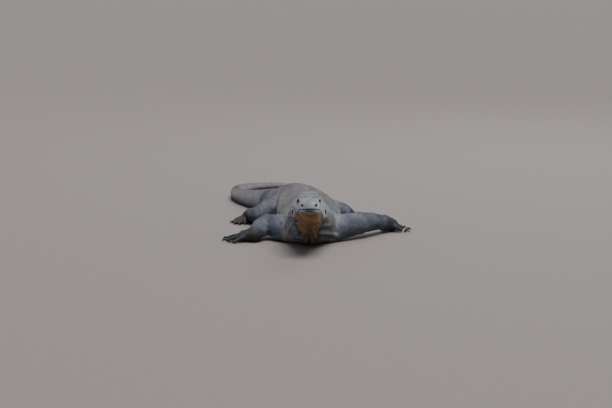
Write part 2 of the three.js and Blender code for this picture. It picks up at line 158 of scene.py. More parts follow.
def rows_at(table, u):
    """Catmull-Rom through the rows of a table, read at the row numbers u."""
    table = np.asarray(table, float)
    u = np.clip(np.asarray(u, float), 0, len(table) - 1)
    i = np.minimum(u.astype(int), len(table) - 2)
    t = (u - i)[:, None]
    last = len(table) - 1
    a, b, c, d = (table[np.clip(i + k, 0, last)] for k in (-1, 0, 1, 2))
    cubic = (2 * a - 5 * b + 4 * c - d) * t ** 2 + (3 * b - a - 3 * c + d) * t ** 3
    return 0.5 * (2 * b + (c - a) * t + cubic)


def squarer(value, power):
    """sign(v) |v|^(2 / power): turns the sine and cosine of an ellipse into those of a squarer curve."""
    return np.sign(value) * np.abs(value) ** (2 / power)


def unit(v):
    """Vectors divided by their lengths."""
    return v / np.maximum(np.linalg.norm(v, axis=-1, keepdims=True), 1e-9)


def head_point(along, up, out=0.0):
    """A point given by its distance ahead of the eyes, above them and to the animal's left of the middle."""
    along, up, out = np.broadcast_arrays(*(np.asarray(v, float) for v in (along, up, out)))
    side = np.array([1.0, 0.0, 0.0])
    return EYE_LINE + along[..., None] * HEAD_AHEAD + up[..., None] * HEAD_UP + out[..., None] * side


def axis_table():
    """Head and body rows as one kind: middle of the widest level, rise, drop, half-width, lean, powers."""
    rows = []
    for along, top, widest, bottom, half, p_top, p_bottom in HEAD:
        c = head_point(along, widest)
        rows.append((*c, top - widest, widest - bottom, half, math.degrees(HEAD_PITCH), p_top, p_bottom))
    for x, y, top, widest, bottom, half, lean, p_top, p_bottom in BODY:
        rows.append((x, y, widest, top - widest, widest - bottom, half, lean, p_top, p_bottom))
    return np.array(rows)


AXIS = axis_table()


def body_surface(u, angle):
    """Points of head, neck, trunk and tail: at row u a section across the path, at each angle a superellipse
    point, half-width times the squarer cosine across and rise or drop times the squarer sine upwards."""
    u = np.asarray(u, float)
    angle = np.broadcast_to(angle, (len(u), np.shape(angle)[-1]))
    s = rows_at(AXIS, u)
    step = 0.02
    last = len(AXIS) - 1
    run = rows_at(AXIS, np.minimum(u + step, last)) - rows_at(AXIS, np.maximum(u - step, 0))
    back = unit(np.stack([run[:, 0], run[:, 1], 0 * u], 1))
    right = np.stack([-back[:, 1], back[:, 0], 0 * u], 1)
    lean = np.radians(s[:, 6])[:, None]
    up = np.array([0, 0, 1.0]) * np.cos(lean) + np.cross(right, np.array([0, 0, 1.0])) * np.sin(lean)
    c, z = np.cos(angle), np.sin(angle)
    power = np.where(z >= 0, s[:, 7:8], s[:, 8:9])
    across = s[:, 5:6] * squarer(c, power)
    height = np.where(z >= 0, s[:, 3:4], s[:, 4:5]) * squarer(z, power)
    return s[:, None, :3] + across[..., None] * right[:, None] + height[..., None] * up[:, None]


def limb_frame(table, u):
    """Centres, half-width, half-height and the three directions of a limb at u."""
    s = rows_at(table, u)
    last = len(table) - 1
    run = rows_at(table, np.minimum(u + 0.05, last)) - rows_at(table, np.maximum(u - 0.05, 0))
    ahead = unit(run[:, :3])
    right = unit(np.stack([-ahead[:, 1], ahead[:, 0], 0 * u], 1))
    up = np.cross(ahead, right)
    return s, ahead, right, up


def limb_surface(table, along, angle):
    """Points of a fleshy tube. along runs from -1 to rows: below 0 and past the last row it goes over the
    rounded ends, drawn in by the cosine while it moves out by three quarters of the smaller radius times the
    sine, and between them it follows the joints."""
    last = len(table) - 1
    u = np.clip(along, 0, last)
    s, ahead, right, up = limb_frame(table, u)
    turn = np.where(along < 0, along, np.where(along > last, along - last, 0.0)) * (math.pi / 2)
    share = np.cos(turn)[:, None, None]
    shift = (0.75 * np.minimum(s[:, 3], s[:, 4]) * np.sin(turn))[:, None]
    centre = s[:, :3] + ahead * shift
    angle = np.broadcast_to(angle, (len(u), np.shape(angle)[-1]))[..., None]
    across = right[:, None] * np.cos(angle) * s[:, None, 3:4]
    rise = up[:, None] * np.sin(angle) * s[:, None, 4:5]
    return centre[:, None] + share * (across + rise)


def closed_tube(rings):
    """Points and triangles of a tube of rings, with a fan to the middle of each end ring."""
    count, sides = rings.shape[:2]
    points = np.concatenate([rings.reshape(-1, 3), [rings[0].mean(0)], [rings[-1].mean(0)]])
    k = np.arange(sides)
    after = (k + 1) % sides
    base = (np.arange(count - 1) * sides)[:, None]
    a, b = base + k, base + after
    walls = np.concatenate([np.stack([a, b, b + sides], -1).reshape(-1, 3),
                            np.stack([a, b + sides, a + sides], -1).reshape(-1, 3)])
    first, final = count * sides, count * sides + 1
    end = (count - 1) * sides
    caps = np.concatenate([np.stack([np.full(sides, first), after, k], 1),
                           np.stack([np.full(sides, final), end + k, end + after], 1)])
    faces = np.concatenate([walls, caps])
    if volume_of(points, faces) < 0:
        faces = faces[:, ::-1]
    return points, faces


def volume_of(points, triangles):
    """A sixth of the sum of a . (b x c) over the triangles: more than 0 where they face outwards."""
    a, b, c = (points[triangles[:, k]] for k in range(3))
    return np.einsum("ij,ij->i", a, np.cross(b, c)).sum() / 6


def foot_frame(foot):
    """Centre of the heel, the heading, and the level directions ahead and to the side."""
    heading = math.radians(foot["heading"])
    ahead = np.array([math.cos(heading), math.sin(heading), 0])
    side = np.array([-math.sin(heading), math.cos(heading), 0])
    return np.array(foot["heel"], float), heading, ahead, side


def toe_tables(limb):
    """For each toe the table of its flesh and that of its claw. Toes that turn further leave the foot further
    back and further to the side."""
    foot = limb["foot"]
    heel, heading, ahead, side = foot_frame(foot)
    claw = limb["claw"]
    tables = []
    for turn, length, thick in limb["toes"]:
        a = heading + math.radians(turn)
        way = np.array([math.cos(a), math.sin(a), 0])
        spread = math.sin(math.radians(turn))
        root = heel + ahead * foot["palm"] * (0.95 - 0.45 * abs(spread))
        root = root + side * foot["breadth"] * 0.85 * spread
        root[2] = foot["front"] + 2

        def at(distance, z):
            return (*(root + way * distance)[:2], z)

        t = thick
        flesh = [(*at(0, root[2]), t * 1.3, t * 1.25),
                 (*at(length * 0.5, t * 1.9), t * 1.1, t * 1.05),
                 (*at(length, t * 0.72), t * 0.85, t * 0.9)]
        horn = [(*at(length, t * 0.72), t * 0.42, t * 0.62),
                (*at(length + claw * 0.55, t * 1.05), t * 0.34, t * 0.46),
                (*at(length + claw, t * 0.12), t * 0.08, t * 0.1)]
        tables.append((np.array(flesh), np.array(horn)))
    return tables


def palm_table(limb):
    """The palm or sole as a short limb from the heel to the roots of the toes."""
    foot = limb["foot"]
    heel, _, ahead, _ = foot_frame(foot)
    breadth, depth = foot["breadth"], foot["depth"]

    def at(share, z):
        return (*(heel + ahead * foot["palm"] * share)[:2], z)

    return np.array([(*at(0, heel[2]), breadth * 0.78, depth * 1.25),
                     (*at(0.5, (heel[2] + foot["front"]) / 2), breadth * 0.92, depth * 1.1),
                     (*at(0.85, foot["front"]), breadth, depth)])


def flesh_tables(limb):
    """The tables of a limb's upper length, lower length, palm and toes."""
    upper, lower = np.array(limb["upper"], float), np.array(limb["lower"], float)
    return upper, lower, palm_table(limb), [flesh for flesh, _ in toe_tables(limb)]


# ---------------------------------------------------------------- the skin as a field of distances

COAT = 1.5  # depth of the scales, by which the skin without its folds lies inside the flesh
VOXEL = 2.4
FINE = VOXEL / 2  # on the head and the feet
REACH = 34.0  # distances are known this far from the surface
FINE_REACH = 15.0
SKIN_TRIANGLES = 190000
GROUND = 0.7  # height of the skin's flats over the floor
BODY_SIDES = 96
ANIMAL_ROOM = (np.array([-372.0, -378.0, -5.0]), np.array([398.0, 1766.0, 262.0]))
FACE_ROOM = (np.array([-88.0, -378, 88]), np.array([88.0, -142, 262]))  # meshed finely, as the feet are


def smooth_min(a, b, k):
    """The smaller of two distances, less (k - |a - b|)^2 / 4k near where they are equal: a fillet k wide."""
    h = np.maximum(k - np.abs(a - b), 0)
    return np.minimum(a, b) - h * h / (4 * k)


def smooth_max(a, b, k):
    """The larger of two distances, rounded over in the same way."""
    return -smooth_min(-a, -b, k)


def ease(low, high, value):
    """0 below low, 1 above high, and 3t^2 - 2t^3 between."""
    t = np.clip((value - low) / (high - low), 0, 1)
    return t * t * (3 - 2 * t)


def bell(value, middle, width):
    """exp(-((value - middle) / width)^2)."""
    return np.exp(-(((value - middle) / width) ** 2))


def ripple(points, size, seed):
    """Smooth noise of about -1 to 1: seven sine waves of about that size in random directions."""
    rng = np.random.default_rng(seed)
    ways = unit(rng.normal(size=(7, 3))) * (2 * math.pi / size) * rng.uniform(0.6, 1.6, (7, 1))
    phases = rng.uniform(0, 2 * math.pi, 7)
    waves = points.astype(np.float32) @ ways.T.astype(np.float32) + phases.astype(np.float32)
    return np.sin(waves).sum(1) * 0.3


def creases(turns, width=0.3):
    """Rounded folds with a narrow valley at each whole number: 0.3 less exp(-(sin(pi t) / width)^2)."""
    return 0.3 - np.exp(-((np.sin(math.pi * turns) / width) ** 2))


class Block:
    """A box of cubic cells with the working coordinates of their centres as open arrays."""

    def __init__(self, first, shape, cell):
        self.first, self.shape, self.cell = np.array(first), tuple(shape), cell
        axes = [(f + np.arange(n)) * cell for f, n in zip(first, shape)]
        self.x, self.y, self.z = np.ix_(*axes)

    @classmethod
    def over(cls, low, high, cell):
        first = np.floor(np.array(low) / cell).astype(int)
        last = np.ceil(np.array(high) / cell).astype(int)
        return cls(first, last - first + 1, cell)

    def within(self, low, high):
        """The part of this block in a box, and its slices, or None where they don't meet."""
        first = np.maximum(self.first, np.floor(np.array(low) / self.cell).astype(int))
        last = np.minimum(self.first + self.shape, np.ceil(np.array(high) / self.cell).astype(int) + 1)
        if (last <= first).any():
            return None
        cuts = tuple(slice(a, b) for a, b in zip(first - self.first, last - self.first))
        return Block(first, last - first, self.cell), cuts

    def distance(self, shape, reach):
        """Distance to a closed mesh at each cell, less than nothing inside it."""
        points, faces = shape
        grid = vdb.FloatGrid.createLevelSetFromPolygons(
            points.astype(np.float32),
            triangles=faces.astype(np.uint32),
            transform=vdb.createLinearTransform(voxelSize=self.cell),
            halfWidth=reach / self.cell,
        )
        values = np.full(self.shape, reach, np.float32)
        grid.copyToArray(values, ijk=tuple(int(f) for f in self.first))
        return values

    def sample(self, values, points):
        """Values at any points, from the eight cells round each."""
        place = points / self.cell - self.first
        corner = np.clip(np.floor(place).astype(int), 0, np.array(self.shape) - 2)
        share = place - corner
        total = 0
        for step in np.ndindex(2, 2, 2):
            weight = np.prod(np.where(step, share, 1 - share), axis=1)
            total = total + weight * values[tuple((corner + step).T)]
        return total

    def settle(self, values, points, rounds=3):
        """Moves points onto the surface where the values are 0, down the slope: Newton's method."""
        half = self.cell * 0.5
        for _ in range(rounds):
            slope = np.stack([self.sample(values, points + half * e) - self.sample(values, points - half * e)
                              for e in np.eye(3)], 1) / (2 * half)
            here = self.sample(values, points)
            move = here / np.maximum((slope ** 2).sum(1), 0.2)
            points = points - np.clip(move, -self.cell, self.cell)[:, None] * slope
        return points


def body_shape(low, high, reach):
    """The part of the body that comes within reach of a box, or None."""
    last = len(AXIS) - 1
    u = np.linspace(0, last, 10 * last + 1)
    s = rows_at(AXIS, u)
    room = (s[:, 3:6].max(1) + reach)[:, None]
    near = u[((s[:, :3] + room > low) & (s[:, :3] - room < high)).all(1)]
    if not len(near):
        return None
    start, end = max(near.min() - 0.5, 0), min(near.max() + 0.5, last)
    u = np.linspace(start, end, int((end - start) * 10) + 2)
    return closed_tube(body_surface(u, np.linspace(0, 2 * math.pi, BODY_SIDES + 1)[:-1]))


def limb_shape(table, sides=32):
    """A limb's tube with its rounded ends, ten rings to each row of its table."""
    last = len(table) - 1
    cap = np.linspace(0, 0.97, 8)
    along = np.concatenate([-cap[:0:-1], np.linspace(0, last, 10 * last + 1), last + cap[1:]])
    return closed_tube(limb_surface(table, along, np.linspace(0, 2 * math.pi, sides + 1)[:-1]))


def join_limb(block, field, limb, reach):
    """Joins one limb to the field. The fillet where it leaves the trunk is wide at its root and narrow
    further out, so that the forearm or shank doesn't grow into the flank beside it."""
    upper, lower, palm, toes = flesh_tables(limb)
    corners = np.concatenate([t[:, :3] for t in (upper, lower, palm, *toes)])
    room = 62 + reach * 0.3
    found = block.within(corners.min(0) - room, corners.max(0) + room)
    if found is None:
        return
    part, cuts = found
    leg = part.distance(limb_shape(upper), reach)
    for table, fillet in [(lower, 13), (palm, 13), *[(t, 6) for t in toes]]:
        leg = smooth_min(leg, part.distance(limb_shape(table), reach), fillet)
    x, y, z = upper[0, :3]
    far = np.sqrt((part.x - x) ** 2 + (part.y - y) ** 2 + (part.z - z) ** 2).astype(np.float32)
    fillet = 6 + 24 * np.exp(-((far / 100) ** 2))
    field[cuts] = smooth_min(field[cuts], leg, fillet)


# ---------------------------------------------------------------- the head's own forms

HEAD_ROOM = ((-95.0, -400.0, 60.0), (95.0, -125.0, 290.0))  # a box that holds the head
EYE_WAY = unit(np.array([0.46, 0.10, 0.88]))  # the way an eye looks: ahead, up and out
EYE_SIDE = unit(np.array([1.0, 0, 0]) - EYE_WAY[0] * EYE_WAY)  # from its back corner to its front one
EYE_RISE = np.cross(EYE_WAY, EYE_SIDE) * -1.0
LID = 1.7  # thickness of the lids
EYE_OPEN = (6.9, 3.7)  # half the length and height between the lids, which the coat's depth makes larger
BROW, BROW_SIZE = (-7, 7, 32), (25, 12, 14.5)
BROW_OUT = 31  # middle of the brow's raised top
NOSTRIL = np.array([81.0, -18.0, 25.0])  # its swelling
NOSTRIL_PIT = np.array([88.5, -18.5, 28.0])  # its opening
NOSTRIL_SIZE = (5.6, 3.7, 4.1)
EAR, EAR_SIZE = np.array([-80.0, -42.0, 66.5]), (7.5, 10.5, 8.0)


def head_place(x, y, z):
    """Distances ahead of the eyes, above them, and out from the middle on either side."""
    c, s = math.cos(HEAD_PITCH), math.sin(HEAD_PITCH)
    back, rise = y - EYE_LINE[1], z - EYE_LINE[2]
    return -back * c + rise * s, back * s + rise * c, np.abs(x - EYE_LINE[0])


def ball(place, centre, radii):
    """Distance to an ellipsoid, near enough close to it: k (k - 1) / |p / r^2| where k = |p / r|."""
    q = [p - c for p, c in zip(place, centre)]
    k = np.sqrt(sum((v / r) ** 2 for v, r in zip(q, radii)))
    return k * (k - 1) / np.maximum(np.sqrt(sum((v / r ** 2) ** 2 for v, r in zip(q, radii))), 1e-6)


def rod(place, start, end, radius):
    """Distance to a rod with round ends."""
    run = [e - s for s, e in zip(start, end)]
    from_start = [p - s for p, s in zip(place, start)]
    share = np.clip(sum(f * r for f, r in zip(from_start, run)) / sum(r * r for r in run), 0, 1)
    return np.sqrt(sum((f - share * r) ** 2 for f, r in zip(from_start, run))) - radius


def eye_axes(place):
    """Places measured from an eye's centre: out of the head, towards its front corner, and up."""
    q = [place[0], place[1], place[2] - EYE_OUT]
    return [sum(v * w for v, w in zip(q, way)) for way in (EYE_WAY, EYE_SIDE, EYE_RISE)]


def eye_opening(side, rise):
    """Less than nothing between the lids: |rise| less a parabola that is highest in the middle."""
    length, height = EYE_OPEN
    return (np.abs(rise + 0.3) - height * (1 - (side / length) ** 2)) * 0.8


def sculpt_head(block, field):
    """Brows, lids, snout ridges, nostrils, jaw and temple muscles and ears."""
    found = block.within(*HEAD_ROOM)
    if found is None:
        return
    part, cuts = found
    place = head_place(part.x, part.y, part.z)
    d = field[cuts]
    d = smooth_max(d, place[0] - 95.5, 10)  # round the front of the snout
    d = smooth_min(d, ball(place, (60, -22, 0), (37, 22, 33)), 12)
    for start, end, radius, fillet in (
        ((12, 7.5, 37), (-20, 9, 41), 5.0, 8),  # the roof over the eye
        ((60, -7, 25), (12, 6, 34), 5.0, 12),  # the edge of the snout from brow to nostril
        ((-20, 8, 40), (-62, 4, 43), 6.0, 16),  # and on to the temple
        ((14, -20, 44), (-18, -22, 49), 4.0, 9),  # the cheek bone under the eye
    ):
        d = smooth_min(d, rod(place, start, end, radius), fillet)
    d = smooth_min(d, ball(place, BROW, BROW_SIZE), 9)
    d = smooth_min(d, ball(place, (-10, 5, 10), (34, 13, 24)), 14)  # fills the crown between the brows
    d = smooth_min(d, ball(place, (-60, -16, 35), (36, 24, 25)), 14)  # temple
    d = smooth_min(d, ball(place, (-58, -67, 44), (26, 25, 14)), 12)  # angle of the jaw
    d = smooth_max(d, -ball(place, (39, -17, 50), (23, 9, 9)), 10)  # hollow before the eye
    d = smooth_max(d, -ball(place, (42, 22, 0), (44, 11, 13)), 14)  # shallow trough down the snout
    d = smooth_max(d, -ball(place, (-27, -4, 56), (10, 9, 7)), 8)  # hollow behind the eye
    out, side, rise = eye_axes(place)
    from_eye = np.sqrt(out ** 2 + side ** 2 + rise ** 2)
    d = smooth_max(d, -ball((side, rise, out), (0, 0, 13), (15, 10.5, 6)), 4)  # the orbit
    d = smooth_min(d, from_eye - (EYE_RADIUS + LID), 2.5)
    opening = np.maximum(eye_opening(side, rise), np.maximum(EYE_RADIUS - 2.6 - from_eye, -out))
    d = smooth_max(d, -opening, 1.4)
    d = smooth_min(d, ball(place, NOSTRIL, (9.5, 7.5, 8.5)), 5)
    d = smooth_max(d, -ball(place, NOSTRIL_PIT, NOSTRIL_SIZE), 1.6)
    d = smooth_min(d, rod(place, (-66, -24, 56), (-71, -60, 58), 5.0), 8)  # fold before the ear
    d = smooth_min(d, rod(place, (-92, -26, 64), (-94, -60, 66), 7.0), 7)  # and the fuller fold behind it
    d = smooth_max(d, -ball(place, EAR, EAR_SIZE), 2.5)
    d = smooth_max(d, -ball(place, EAR + [-1.5, 0, -5], (4.0, 6.5, 7.0)), 2)
    field[cuts] = d


def on_brow(along, out):
    """Distance from the middle of a brow's top, seen from above, with lengths along the head shortened."""
    return np.hypot(0.8 * (along + 4), out - BROW_OUT)


def mouth_height(along):
    """Height of the closed mouth's line: straight from chin to corner, less a slow wave, and curling up at
    the corner."""
    (front, front_up), (corner, corner_up) = MOUTH_FRONT, MOUTH_CORNER
    share = np.clip((along - corner) / (front - corner), 0, 1.1)
    line = corner_up + (front_up - corner_up) * share
    return line - 2.6 * np.sin(2 * math.pi * share ** 0.8) + 5 * bell(share, 0, 0.1)


# ---------------------------------------------------------------- folds of the hide

SPINE = AXIS[: 18]  # head to just before the hips, where the axis runs steadily back


def trunk_place(points):
    """For points on head, neck and trunk: angle round the section (pi/2 on top, 0 to the animal's left), and
    the section's centre (x, z) and half-width."""
    y = points[:, 1]
    middle = [np.interp(y, SPINE[:, 1], SPINE[:, k]) for k in (0, 2, 3, 4, 5)]
    cx, cz, rise, drop, half = middle
    up = points[:, 2] - cz
    over = np.arctan2(up / np.where(up > 0, rise, drop), (points[:, 0] - cx) / half)
    return over, cx, cz, half


# Inner and outer ends (x, z) of the folds that hang in front of the shoulders, and their height.
HANGING_FOLDS = (
    (46, 66, 110, 33, 4.4),
    (44, 104, 82, 92, 2.6),
    (-30, 36, -62, 40, 3.0),
    (-64, 120, -84, 66, 3.0),
)

# Side, centre and radius of the rings of hide in front of each shoulder and hip.
JOINT_FOLDS = ((1, 92, 92, 70, 74), (-1, -88, 92, 70, 74), (1, 20, 615, 95, 70), (-1, -120, 622, 90, 66))


def sack_width(z):
    """Half the width of the throat's sack: 50 under the jaw, narrowing to 31 near the ground."""
    return 31 + 19 * ease(50, 125, z)


def under_throat(y, height):
    """1 under the throat and low neck, and 0 past the chin, on the chest and on the sides."""
    return ease(-345, -310, y) * ease(40, -60, y) * ease(-0.1, -0.4, height)


def sack_bulge(points):
    """How far the throat's sack stands out between its two long grooves."""
    x, y, z = points.T
    over, cx, _, _ = trunk_place(points)
    return 2.6 * under_throat(y, np.sin(over)) * ease(4, -16, np.abs(x - cx) - sack_width(z))


def relief(points):
    """How far the hide stands out at each point: lips, pleats of the throat, wrinkles and folds."""
    x, y, z = points.T
    over, cx, _, half = trunk_place(points)
    height = np.sin(over)
    lift = np.zeros(len(points), np.float32)
    slow = ripple(points, 70, 3)
    quick_wave = ripple(points, 26, 4)
    along, up, out = head_place(x, y, z)

    gap = up - mouth_height(along)
    mouth = ease(-48, -40, along)
    lift -= 3.0 * mouth * np.exp(-((gap / 1.5) ** 2))
    lift += 1.1 * mouth * (bell(gap, 5.5, 3.2) + 0.8 * bell(gap, -5.5, 3.2))

    # Wrinkles behind the brows, and the dent round each brow's swelling.
    lift -= 2.8 * bell(along, -33 - 0.1 * out, 3.2) * bell(out, 19, 14) * ease(0, 10, up)
    nape_fold = bell(np.abs(x), 20, 14) * ease(0.4, 0.8, height)
    lift += nape_fold * (3.4 * bell(y, -110, 11) - 2.8 * bell(y, -133 + 3 * quick_wave, 8))
    lift -= 2.0 * bell(on_brow(along, out), 15, 3.0) * ease(5, 11, up) * ease(45, 38, out)

    # The throat hangs as a sack between two long grooves. Its pleats fan out downwards from under the chin,
    # deepest at the edge of the fan.
    fan = np.arctan2(x, 160 - z)
    spread = np.hypot(x, 160 - z)
    broken = 0.75 + 0.5 * ripple(points, 38, 5)
    low_front = under_throat(y, height)
    off_edge = np.abs(x - cx) - sack_width(z) - 4 * quick_wave
    lift -= 2.8 * low_front * bell(off_edge, 5, 6)
    throat = low_front * ease(8, 40, spread) * ease(26, 4, off_edge)
    lift += 3.2 * throat * broken * creases(fan * (5.4 + 0.7 * slow) + 0.16 * quick_wave, 0.5)
    sack = ease(-330, -250, y) * ease(-60, -130, y) * ease(-0.3, -0.9, height)
    lift += 1.0 * sack * creases((y + 6 * slow) / 15, 0.45)

    # Loose folds of hide that hang in front of the shoulders, each a ridge with a hollow under it.
    for x_in, z_in, x_out, z_out, tall in HANGING_FOLDS:
        share = np.clip((x - x_in) / (x_out - x_in), -0.4, 1.4)
        above = z - (z_in + (z_out - z_in) * share) - 3 * quick_wave
        fade = ease(-0.3, 0.05, share) * ease(1.35, 0.95, share) * ease(-190, -140, y) * ease(110, 50, y)
        lift += tall * fade * (bell(above, 2, 8) - 0.8 * bell(above, -12, 7))

    # Across the nape, closer together near the head, and broken here and there.
    nape = ease(-184, -160, y) * ease(30, -60, y) * ease(0.0, 0.6, height)
    across = y + 12 * (x / 60) ** 2 + 9 * slow + 2.5 * quick_wave
    lift += 1.15 * nape * broken * creases(across / (10 + 0.045 * (y + 170)), 0.4)

    # Down the sides of the neck, slanting back to the shoulder: deep folds with finer ones across them.
    side = ease(-200, -150, y) * ease(75, 10, y) * ease(0.8, 0.35, np.abs(height + 0.1))
    slant = z * 0.66 + y * 0.62 + 10 * slow + 3 * quick_wave
    lift += 3.0 * side * broken * creases(slant / 23, 0.42)
    lift += 1.1 * side * creases((slant + 5 * quick_wave) / 8.6, 0.45)

    # The hide gathers round the joint in front of each shoulder and hip.
    for sign, jx, jy, jz, reach in JOINT_FOLDS:
        ring = np.sqrt((x - jx) ** 2 + (y - jy) ** 2 + (z - jz) ** 2) + 8 * slow + 2 * quick_wave
        fade = bell(ring, reach, 22) * ease(0.0, 0.25, (x - cx) * sign / half)
        lift += 1.3 * fade * broken * creases(ring / 15, 0.36)

    # Upright folds on the flanks, a few long ones low along them, and fine wrinkles over the back.
    flank = ease(110, 190, y) * ease(640, 540, y) * ease(0.92, 0.4, np.abs(height))
    lift += 1.9 * flank * broken * creases((y + 20 * slow + 4 * quick_wave + 0.25 * z) / 34, 0.32)
    lift += 0.9 * flank * broken * creases((z + 12 * slow + 4 * quick_wave) / 24, 0.36)
    back = ease(40, 90, y) * ease(780, 700, y) * ease(0.3, 0.8, height)
    lift += 0.5 * back * creases((y + 12 * slow + 3 * quick_wave) / 15, 0.42)

    # A low ridge on the middle of the neck and back, and a general unevenness.
    lift += 1.0 * bell(x - cx, 0, 9) * ease(-120, 0, y) * ease(0.8, 0.98, height) * ease(820, 700, y)
    lift += 0.6 * slow + 0.35 * quick_wave * ease(-210, -150, y)
    return lift


def limb_relief(points):
    """Wrinkles across the elbows, knees, wrists and ankles."""
    lift = np.zeros(len(points), np.float32)
    for limb in LIMBS.values():
        upper, lower = flesh_tables(limb)[:2]
        heel = np.array(limb["foot"]["heel"], float)
        for joint, before, reach, size in ((lower[0, :3], upper[1, :3], 46, 9), (heel, lower[1, :3], 30, 7)):
            way = unit(joint - before)
            off = points - joint
            near = np.exp(-(off ** 2).sum(1) / reach ** 2)
            keep = near > 0.02
            if not keep.any():
                continue
            turns = (off[keep] @ way) / size + 0.3 * ripple(points[keep], 30, 8)
            lift[keep] += (1.1 * near[keep] * creases(turns, 0.4)).astype(np.float32)
    return lift


def skin_field(low, high, cell, reach):
    """The field of the whole skin in a box: distance to the flesh, plus the coat's depth, less the relief."""
    block = Block.over(low, high, cell)
    body = body_shape(low, high, reach)
    field = block.distance(body, reach) if body else np.full(block.shape, reach, np.float32)
    for limb in LIMBS.values():
        join_limb(block, field, limb, reach)
    sculpt_head(block, field)
    field += COAT
    near = np.nonzero(np.abs(field) < 9)
    places = np.stack([axis.ravel()[k] for axis, k in zip((block.x, block.y, block.z), near)], 1)
    field[near] -= relief(places) + sack_bulge(places) + limb_relief(places)
    return block, smooth_max(field, GROUND - block.z.astype(np.float32), 5)


def split_faces(points, quads, chosen):
    """Cuts each chosen quad in four. Quads beside them take the new points into their outlines."""
    edges = np.stack([quads, np.roll(quads, -1, 1)], -1)
    keys = np.sort(edges, -1)
    flat = keys[..., 0].astype(np.int64) * len(points) + keys[..., 1]
    wanted, where = np.unique(flat[chosen], return_inverse=True)
    middles = (points[wanted // len(points)] + points[wanted % len(points)]) / 2
    centres = points[quads[chosen]].mean(1)
    start = len(points)
    where = where.reshape(-1, 4) + start
    centre = (start + len(middles) + np.arange(len(centres)))[:, None]
    corner = quads[chosen]
    cut = np.stack([corner, where, np.repeat(centre, 4, 1), np.roll(where, 1, 1)], -1).reshape(-1, 4)
    rest = quads[~chosen]
    rest_keys = flat[~chosen]
    spot = np.clip(np.searchsorted(wanted, rest_keys), 0, len(wanted) - 1)
    split = wanted[spot] == rest_keys
    touched = split.any(1)
    outlines = []
    for face, cuts, number in zip(rest[touched], split[touched], spot[touched]):
        outline = []
        for k in range(4):
            outline.append(int(face[k]))
            if cuts[k]:
                outline.append(int(number[k] + start))
        outlines.append(outline)
    return np.concatenate([points, middles, centres]), np.concatenate([rest[~touched], cut]), outlines


def mesh_of(name, points, faces, extra=()):
    """A new object whose mesh has these points, in metres in the row frame, and these equal-sided faces."""
    mesh = bpy.data.meshes.new(name)
    if len(extra):
        mesh.from_pydata(points.tolist(), [], faces.tolist() + list(extra))
    else:
        sides = faces.shape[1]
        mesh.vertices.add(len(points))
        mesh.vertices.foreach_set("co", points.astype(np.float32).ravel())
        mesh.loops.add(faces.size)
        mesh.loops.foreach_set("vertex_index", faces.astype(np.int32).ravel())
        mesh.polygons.add(len(faces))
        mesh.polygons.foreach_set("loop_start", np.arange(0, faces.size, sides, dtype=np.int32))
        mesh.update(calc_edges=True)
    mesh.polygons.foreach_set("use_smooth", np.ones(len(mesh.polygons), bool))
    mesh.validate()
    piece = bpy.data.objects.new(name, mesh)
    bpy.context.scene.collection.objects.link(piece)
    return piece


def make_skin():
    """Meshes the field over the whole animal, then cuts the faces of head and feet finer and settles their
    points on finer fields."""
    block, field = skin_field(*ANIMAL_ROOM, VOXEL, REACH)
    grid = vdb.FloatGrid(REACH)
    grid.copyFromArray(field, ijk=tuple(int(f) for f in block.first))
    grid.transform = vdb.createLinearTransform(voxelSize=VOXEL)
    points, quads = grid.convertToQuads()
    points = points.astype(float)
    quads = quads[:, ::-1].astype(np.int64)

    boxes = [FACE_ROOM]
    for limb in LIMBS.values():
        spots = np.concatenate([toe[:, :3] for toe in flesh_tables(limb)[3]] + [[limb["foot"]["heel"]]])
        boxes.append((spots.min(0) - 24, spots.max(0) + 24))
    middle = points[quads].mean(1)
    inside = [((middle > lo + 6) & (middle < hi - 6)).all(1) for lo, hi in boxes]
    chosen = np.any(inside, 0)
    points, quads, outlines = split_faces(points, quads, chosen)
    for lo, hi in boxes:
        fine, values = skin_field(lo, hi, FINE, FINE_REACH)
        held = ((points > lo + 5) & (points < hi - 5)).all(1)
        points[held] = fine.settle(values, points[held])
    return points, quads, outlines


# ---------------------------------------------------------------- markings and painted shade and highlights, the same on skin and scales

MARKS = ("pale", "throat", "limb", "under", "dust", "crease", "ridge", "lip", "dark", "chance", "rise")


def from_segments(points, segments):
    """Distance to the nearest of some rods with tapering radii."""
    best = np.full(len(points), 1e3)
    for start, end in segments:
        run = end[:3] - start[:3]
        share = np.clip((points - start[:3]) @ run / (run @ run), 0, 1)
        middle = start[:3] + share[:, None] * run
        radius = start[3] + share * (end[3] - start[3])
        best = np.minimum(best, np.linalg.norm(points - middle, axis=1) - radius)
    return best


def rods_of(*tables):
    """The rods between the rows of each table."""
    return [rod for table in tables for rod in zip(table[:-1], table[1:])]


def limb_marks(points):
    """Distance to the nearest limb, nearness to a foot, and the fold where a bent limb meets itself, which is
    painted as shade.
    """
    nearest = np.full(len(points), 1e3)
    foot, fold = np.zeros(len(points)), np.zeros(len(points))
    for limb in LIMBS.values():
        upper, lower, palm, toes = flesh_tables(limb)
        by_upper = from_segments(points, rods_of(upper))
        by_lower = from_segments(points, rods_of(lower))
        by_foot = from_segments(points, rods_of(palm, *toes))
        bend = -unit(upper[-1, :3] - upper[0, :3]) @ unit(lower[-1, :3] - lower[0, :3])
        near = ease(26, 6, np.maximum(by_upper, by_lower))
        fold = np.maximum(fold, bell(by_upper - by_lower, 0, 6) * near * max(bend, 0))
        foot = np.maximum(foot, ease(16, -2, by_foot))
        nearest = np.minimum(nearest, np.minimum(by_foot, np.minimum(by_upper, by_lower)))
    return nearest, foot, fold


